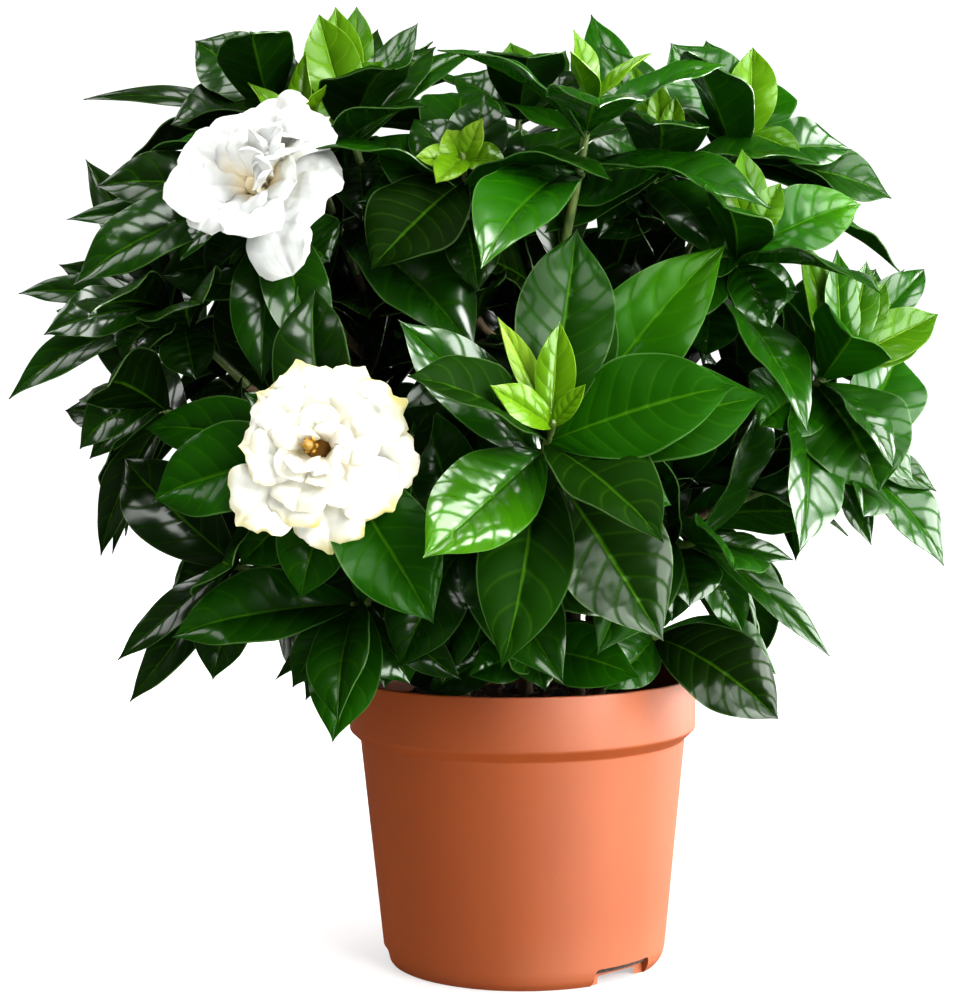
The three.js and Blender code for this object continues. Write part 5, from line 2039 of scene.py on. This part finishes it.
@dataclass
class LeafyShoot:
    """A shoot's twig and leaves, and its young tip, in millimetres and degrees."""

    shoot: Shoot
    branch: Sequence[Vector]
    blades: BladeTree
    rods: RodTree
    twig_radius: float = 1.8
    tip_radius: float = 1.4
    tip_length: float = 9.0
    fold: float = 14.0
    young_fold: float = 16.0
    inner_step: float = 9.0
    inner_turn: float = 2.4  # radians from one inner leaf to the next
    inner_length: float = 56.0
    inner_slimness: float = 0.5
    inner_arch: float = 30.0

    @property
    def tone(self) -> float:
        """How light its leaves are painted: darker to the left and the back, as painted shade where less
        light falls.
        """
        tip = self.shoot.tip
        return min(max(0.45 + tip.x / 500 - (tip.y + 60) / 500, 0.05), 0.95)

    def build(self) -> None:
        """Makes the shoot, and its young tip where it has one."""
        shoot = self.shoot
        aimed = list(self._aimed())
        broad = [blade for blade in aimed if blade.marks is LEAF_MARKS]
        narrow = [blade for blade in aimed if blade.marks is not LEAF_MARKS]
        parts = [self._twig(shoot.root, shoot.tip, self.twig_radius)]
        under = Finish.UNDER.material
        if broad:
            parts.append(self.blades.grow(broad, LEAF_FORM, Finish.LEAF.material, under, self.tone))
        plain = [*narrow, *self._small(), *self._ruled()]
        if plain:
            parts.append(self.blades.grow(plain, PLAIN_FORM, Finish.PLAIN.material, under, self.tone))
        inner = list(self._inner())
        if inner:
            # The inner leaves get the darkest tone: painted shade for the inside of the crown.
            parts.append(self.blades.grow(inner, INNER_FORM, Finish.PLAIN.material, under, 0.0))
        add_piece(f"twig_{shoot.name}", parts, f"shoot_{shoot.name}")
        if shoot.young or shoot.ruled_young:
            self._build_tip()

    def _twig(self, start: Vector, end: Vector, radius: float) -> Part:
        """Makes a twig that tapers towards its end.

        Args:
            start: Its foot.
            end: Its end.
            radius: The radius of its foot.

        Returns:
            The part.
        """
        shares = (0, 0.25, 0.5, 0.75, 0.93, 1)
        widths = (1, 0.96, 0.92, 0.88, 0.8, 0.45)
        path = [(start.lerp(end, share), radius * width) for share, width in zip(shares, widths)]
        return self.rods.lay([path], Finish.TWIG.material, sides=10, roughness=0.5, grain=260.0)

    def _aimed(self) -> Iterator[Blade]:
        """Finds its leaves with a picture place.

        Yields:
            Those that the frame has, as they are bent there.
        """
        shoot = self.shoot
        corners = NodeCorners(f"shoot_{shoot.name}")
        for index, leaf in enumerate(shoot.leaves):
            base = shoot.tip.lerp(shoot.root, 0.04 + 0.06 * index)
            marks = PLAIN_MARKS if leaf.width < SLIM_WIDTH else LEAF_MARKS
            seed = FirstSeed.PLACED + shoot.number * SHOOT_SEEDS + index
            found = corners.found(aimed_blades(leaf, base, shoot.front_face, self.fold, marks, seed))
            if found:
                yield found

    def _small(self) -> Iterator[Blade]:
        """Places its small leaves inside the crown.

        Yields:
            Their blades.
        """
        shoot = self.shoot
        face = (shoot.front_face + FRONT * 0.8).normalized()
        for index, leaf in enumerate(shoot.small):
            base = shoot.tip.lerp(shoot.root, 0.3 + 0.2 * index)
            seed = FirstSeed.SMALL + shoot.number * SHOOT_SEEDS + index
            yield Blade(base, leaf.point(), face, leaf.width, leaf.arch, self.fold, PLAIN_MARKS, seed,
                        leaf.dull, leaf.light)

    def _ruled(self) -> Iterator[Blade]:
        """Finds its leaves without a place of their own.

        Yields:
            Those that the frame has, as they are bent there.
        """
        shoot = self.shoot
        corners = NodeCorners(f"shoot_{shoot.name}")
        for index in range(shoot.rule):
            rule = Rule.leaf(shoot.number * SHOOT_SEEDS + index, index)
            base = shoot.root.lerp(shoot.tip, max(rule.along, 0.12))
            found = corners.found(rule.blades(base, shoot, shoot.face))
            if found:
                yield found

    def _inner(self) -> Iterator[Blade]:
        """Places its old leaves along the branch that carries it.

        Yields:
            The blades whose tips are inside the crown.
        """
        shoot, branch = self.shoot, self.branch
        run, turn = 0.0, shoot.number * 1.7
        for index, (here, after) in enumerate(zip(branch, branch[1:])):
            run += (after - here).length
            if run < self.inner_step:
                continue
            run, turn = 0.0, turn + self.inner_turn
            seed = FirstSeed.INNER + shoot.number * SHOOT_SEEDS + index
            grows = (after - here).normalized()
            way = aside(grows, FRONT, turn) + grows * (0.5 + 0.4 * draw(seed, Pick.LEAN))
            length = self.inner_length * (0.8 + 0.4 * draw(seed, Pick.OLD_LENGTH))
            tip = after + way.normalized() * length
            if CROWN_INSIDE.holds(tip):
                face = (grows + UP * 0.6 + FRONT * 0.3).normalized()
                yield Blade(after, tip, face, length * self.inner_slimness, self.inner_arch, self.fold,
                            PLAIN_MARKS, seed)

    def _build_tip(self) -> None:
        """Makes the growing tip with its young leaves."""
        shoot = self.shoot
        corners = NodeCorners(f"tip_{shoot.name}")
        start = shoot.tip + shoot.grows * GAP
        end = shoot.tip + shoot.grows * self.tip_length
        leaves = len(shoot.young) or YOUNG_COUNT
        grown = []
        for index in range(leaves):
            base = start.lerp(end, 0.3 + 0.5 * index / leaves)
            seed = shoot.number * SHOOT_SEEDS + index
            if shoot.young:
                options = aimed_blades(shoot.young[index], base, shoot.front_face, self.young_fold,
                                       YOUNG_MARKS, FirstSeed.YOUNG + seed)
            else:
                options = Rule.young(seed, index).blades(base, shoot, shoot.grows)
            found = corners.found(options)
            if found:
                grown.append(found)
        parts = [self._twig(start, end, self.tip_radius)]
        if grown:
            parts.append(self.blades.grow(grown, YOUNG_FORM, Finish.YOUNG.material,
                                          Finish.YOUNG_UNDER.material, 0.5))
        add_piece(f"young_{shoot.name}", parts, f"tip_{shoot.name}")


Stops = tuple[tuple[float, float], ...]


@dataclass
class Bloom:
    """A double bloom: outer petals, rings of inner petals, a calyx, and a stigma where it is open.

    The throat, cup, club and anther have a radius at each place, in millimetres along the way the bloom
    looks, or in shares of an anther's length.
    """

    plan: BloomPlan
    blades: BladeTree
    rods: RodTree
    finish: Finish
    sepals: int = 5
    sepal_length: float = 17.0
    sepal_width: float = 4.5
    anthers: int = 6
    throat: Stops = ((0, 4.4), (3, 4.6), (5, 4.4), (6.5, 3.4), (7.2, 1.6))
    cup: Stops = ((-9, 1.2), (-8, 2.6), (-5, 4.4), (-2, 5.6), (1, 6.0), (3, 5.2), (4, 3.6))
    club: Stops = ((0, 1.04), (6, 0.96), (12, 0.96), (13.2, 1.44), (14.6, 1.84), (16.4, 1.84),
                   (17.8, 1.2), (18.4, 0.4))
    anther: Stops = ((0, 0.3), (0.4, 0.5), (0.6, 0.8), (0.85, 0.75), (1, 0.2))

    @property
    def looks(self) -> Vector:
        """The way it looks."""
        return self.plan.looks.normalized()

    @property
    def root(self) -> Vector:
        """The middle of its core."""
        return self.plan.heart.point() - self.looks * BLOOM_CORE_SINK

    def build(self) -> None:
        """Makes the bloom."""
        skin = self.finish.material
        throat = Finish.THROAT if self.plan.has_centre else self.finish
        inner = [*self._ringed(), *self._furled()]
        parts = [
            self.blades.grow(list(self._outer()), self.plan.form, skin, skin, 0.75),
            # The inner petals' low tone takes the cream foot further up: partly painted shade in the bloom's
            # middle.
            self.blades.grow(inner, PETAL_FORM, skin, skin, 0.2),
            self._rod(self.root, self.throat, throat, 0.3),
            self.blades.grow(list(self._calyx()), SEPAL_FORM, Finish.YOUNG.material,
                             Finish.YOUNG_UNDER.material, 0.4),
            self._rod(self.root, self.cup, Finish.TWIG, 0.4),
        ]
        add_piece(f"petals_{self.plan.name}", parts, self.plan.name)
        if self.plan.has_centre:
            self._build_centre()

    def _rod(self, root: Vector, stops: Stops, finish: Finish, roughness: float) -> Part:
        """Makes a round body that points the way the bloom looks.

        Args:
            root: Where its places start.
            stops: Its places and radii.
            finish: Its finish.
            roughness: How uneven its skin is.

        Returns:
            The part.
        """
        path = [(root + self.looks * far, radius) for far, radius in stops]
        return self.rods.lay([path], finish.material, sides=16, roughness=roughness)

    def _foot(self, tip: Vector, rise: float) -> Vector:
        """Works out where a petal stands on the core.

        Args:
            tip: The petal's tip.
            rise: How far in front of the core's middle its foot is.

        Returns:
            Its foot.
        """
        away = tip - self.root
        away = (away - self.looks * away.dot(self.looks)).normalized()
        return self.root + away * PETAL_FOOT + self.looks * rise

    def _outer(self) -> Iterator[Blade]:
        """Places its outer petals, in two layers by turns.

        Yields:
            Their blades.
        """
        for index, petal in enumerate(self.plan.outer):
            layer = PETAL_STEP if index % 2 else -PETAL_STEP
            tip = petal.point() + self.looks * layer
            yield Blade(self._foot(tip, layer), tip, self.looks, petal.width, 34, 6, PETAL_MARKS,
                        FirstSeed.PETAL + index)

    def _furled(self) -> Iterator[Blade]:
        """Places its small inner petals.

        Yields:
            Their blades.
        """
        for index, petal in enumerate(self.plan.inner):
            tip = petal.tip.point()
            base = self._foot(tip, petal.rise)
            face = Matrix.Rotation(radians(petal.turn), 3, (tip - base).normalized()) @ self.looks
            yield Blade(base, tip, face, petal.tip.width, 40, 22, PETAL_MARKS, FirstSeed.FURLED + index)

    def _ringed(self) -> Iterator[Blade]:
        """Places the petals of its rings.

        Yields:
            Their blades.
        """
        seeds = count(FirstSeed.RINGED)
        for ring in self.plan.rings:
            for index in range(ring.petals):
                away = aside(self.looks, UP, radians(ring.start + 360 * index / ring.petals))
                tip = self.root + self.looks * (ring.lift + BLOOM_CORE_SINK) + away * ring.reach
                face = self.looks - away * self.plan.cupping
                yield Blade(self._foot(tip, ring.rise), tip, face, ring.width, 30, 14, PETAL_MARKS,
                            next(seeds))

    def _calyx(self) -> Iterator[Blade]:
        """Places the green lobes behind its petals.

        Yields:
            Their blades.
        """
        for index in range(self.sepals):
            away = aside(self.looks, UP, radians(20 + 360 * index / self.sepals))
            base = self.root - self.looks * 5 + away * 3
            tip = base + away * self.sepal_length - self.looks * 2
            yield Blade(base, tip, self.looks, self.sepal_width, 20, 10, YOUNG_MARKS,
                        FirstSeed.SEPAL + index)

    def _build_centre(self) -> None:
        """Makes the stigma and the stamens round it."""
        foot = self.root + self.looks * 6
        paths = [[(foot + self.looks * far, radius) for far, radius in self.club]]
        for index in range(self.anthers):
            away = aside(self.looks, UP, radians(360 / self.anthers * index))
            start = self.root + self.looks * 13 + away * 1.0
            end = self.root + self.looks * 20 + away * 2.6
            paths.append([(start.lerp(end, share), radius) for share, radius in self.anther])
        part = self.rods.lay(paths, Finish.STIGMA.material, sides=12, roughness=0.5, grain=500.0)
        add_piece(f"stigma_{self.plan.name}", [part], f"{self.plan.name}_centre")


# ---- Studio -------------------------------------------------------------------------------------


LAMP_TARGET = Vector((0.0, 0.0, 0.22))


class Lights(Enum):
    """What a lamp lights: everything, matte surfaces or gloss alone."""

    ALL = "all"
    MATTE = "matte"
    GLOSS = "gloss"


@dataclass(frozen=True)
class SoftLight:
    """A soft round lamp that looks at the crown from a turn to the right and a height, in degrees.

    Its distance and size are in metres and its power is in watts.
    """

    name: str
    turn: float
    height: float
    distance: float
    size: float
    power: float
    lights: Lights = Lights.ALL

    def build(self) -> None:
        """Makes the light."""
        data = bpy.data.lights.new(self.name, "AREA")
        data.shape = "DISK"
        data.size = self.size
        data.energy = self.power
        made = new_object(self.name, data)
        made.visible_camera = False
        made.visible_diffuse = self.lights is not Lights.GLOSS
        made.visible_glossy = self.lights is not Lights.MATTE
        turn, height = radians(self.turn), radians(self.height)
        level = Vector((sin(turn), -cos(turn), 0)) * cos(height)
        away = level + UP * sin(height)
        place = Matrix.Translation(LAMP_TARGET + away * self.distance)
        made.matrix_world = place @ away.to_track_quat("Z", "Y").to_matrix().to_4x4()


@dataclass
class Studio:
    """A plain pale floor that glows as a lamp, soft lights and a pale surrounding."""

    floor_size: float = 8.0
    floor_grey: float = 0.45
    sky: float = 1.2
    front_sky: float = 0.3
    high_sky: float = 0.08
    near_glow: float = 0.4
    far_glow: float = 0.9
    lights: tuple[SoftLight, ...] = (
        SoftLight("key", 82, 9, 1.8, 1.1, 27.0),
        SoftLight("edge", 125, 4, 1.6, 0.9, 22.0),
        SoftLight("crown", 20, 60, 1.6, 0.8, 18.0, Lights.MATTE),
        SoftLight("front", 36, 22, 1.7, 0.9, 28.0, Lights.MATTE),
        SoftLight("back_left", -100, 46, 1.7, 1.1, 24.0),
        SoftLight("back", 190, 24, 1.8, 1.2, 14.0, Lights.MATTE),
        SoftLight("gloss_low_right", 56, 0, 1.8, 1.8, 260.0, Lights.GLOSS),
        SoftLight("gloss_edge", 114, 0, 1.6, 1.2, 40.0, Lights.GLOSS),
        SoftLight("gloss_high_right", 37, 50, 1.6, 0.6, 16.0, Lights.GLOSS),
        SoftLight("gloss_high_left", -15, 45, 1.6, 0.7, 26.0, Lights.GLOSS),
        SoftLight("gloss_right", 55, 42, 1.6, 0.6, 12.0, Lights.GLOSS),
        SoftLight("gloss_front", 23, 25, 1.6, 1.0, 36.0, Lights.GLOSS),
        SoftLight("gloss_top", -46, 76, 1.6, 0.6, 12.0, Lights.GLOSS),
        SoftLight("gloss_side", 90, 45, 1.7, 1.1, 46.0, Lights.GLOSS),
    )

    def build(self) -> None:
        """Makes the floor, the lights, the surrounding and the camera."""
        self._floor()
        for light in self.lights:
            light.build()
        self._surround()
        SIGHT.add_camera()
        scene = bpy.context.scene
        scene.view_settings.view_transform = "Standard"
        scene.view_settings.look = "Medium High Contrast"

    def _floor(self) -> None:
        """Makes the floor, which glows as a lamp: dimmer near the pot and to the left front, brighter far
        off.
        """
        half = self.floor_size / 2
        mesh = bpy.data.meshes.new("floor")
        mesh.from_pydata([(-half, -half, 0), (half, -half, 0), (half, half, 0), (-half, half, 0)], [],
                         [(0, 1, 2, 3)])
        shader = Shader("floor", Specular_IOR_Level=0.1, Emission_Strength=1.0)
        right, behind, _ = shader.split(shader.place())
        away = (right ** 2 + behind ** 2) ** 0.5
        left = (right * -1 - behind * 0.6).ramp(0.25, 0.9)
        share = away.ramp(0.3, 1.4) * (1 - left * 0.75)
        glow = shader.mix(share, (self.near_glow,) * 3, (self.far_glow,) * 3)
        shader.feed("Emission Color", glow)
        mesh.materials.append(shader.finish((self.floor_grey,) * 3, 0.8))
        made = new_object("floor", mesh)
        made.visible_glossy = False
        made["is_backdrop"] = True

    def _surround(self) -> None:
        """Makes the surrounding: pale at the horizon behind, and dimmer above, below and to the left."""
        world = bpy.data.worlds.new("surround")
        world.use_nodes = True
        bpy.context.scene.world = world
        bench = Bench(world.node_tree)
        world.node_tree.nodes.clear()
        right, behind, up = bench.split(bench.node("ShaderNodeTexCoord").outputs["Generated"])
        low = self.front_sky + (self.sky - self.front_sky) * behind.ramp(-0.2, 0.6) * right.ramp(-0.6, -0.3)
        low = low * up.ramp(-0.3, -0.02)
        high = up.ramp(0.2, 0.45)
        strength = low * (1 - high) + self.high_sky * high
        light = bench.out("ShaderNodeBackground", None, {"Strength": strength})
        bench.node("ShaderNodeOutputWorld", None, {"Surface": light})


# ---- The whole plant ----------------------------------------------------------------------------


def write_size() -> None:
    """Works out the frame's box and the box of the finished look, as plain lists."""
    boxes = {"cad": CAD_BOX, "visual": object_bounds()}
    plain = {name: [list(corner) for corner in box] for name, box in boxes.items()}


def main() -> None:
    """Builds the studio and the plant, piece by piece."""
    logging.basicConfig(level=logging.INFO, format="%(message)s")
    Studio().build()
    blades, rods, crumbs = BladeTree(), RodTree(), CrumbTree()
    pot = Pot()
    pot.build()
    PottingMix(pot, crumbs).build()
    shoots = [*SHOOTS, *far_shoots()]
    for number, shoot in enumerate(shoots):
        shoot.number = number
    branches: dict[str, list[Vector]] = {}
    for trunk in Trunk:
        branches |= WoodyStem(trunk, shoots, rods).build()
    for shoot in shoots:
        LeafyShoot(shoot, branches[shoot.name], blades, rods).build()
    for plan, finish in zip(BLOOMS, (Finish.CREAM_PETAL, Finish.PETAL)):
        Bloom(plan, blades, rods, finish).build()
    write_size()


if __name__ == "__main__":
    main()
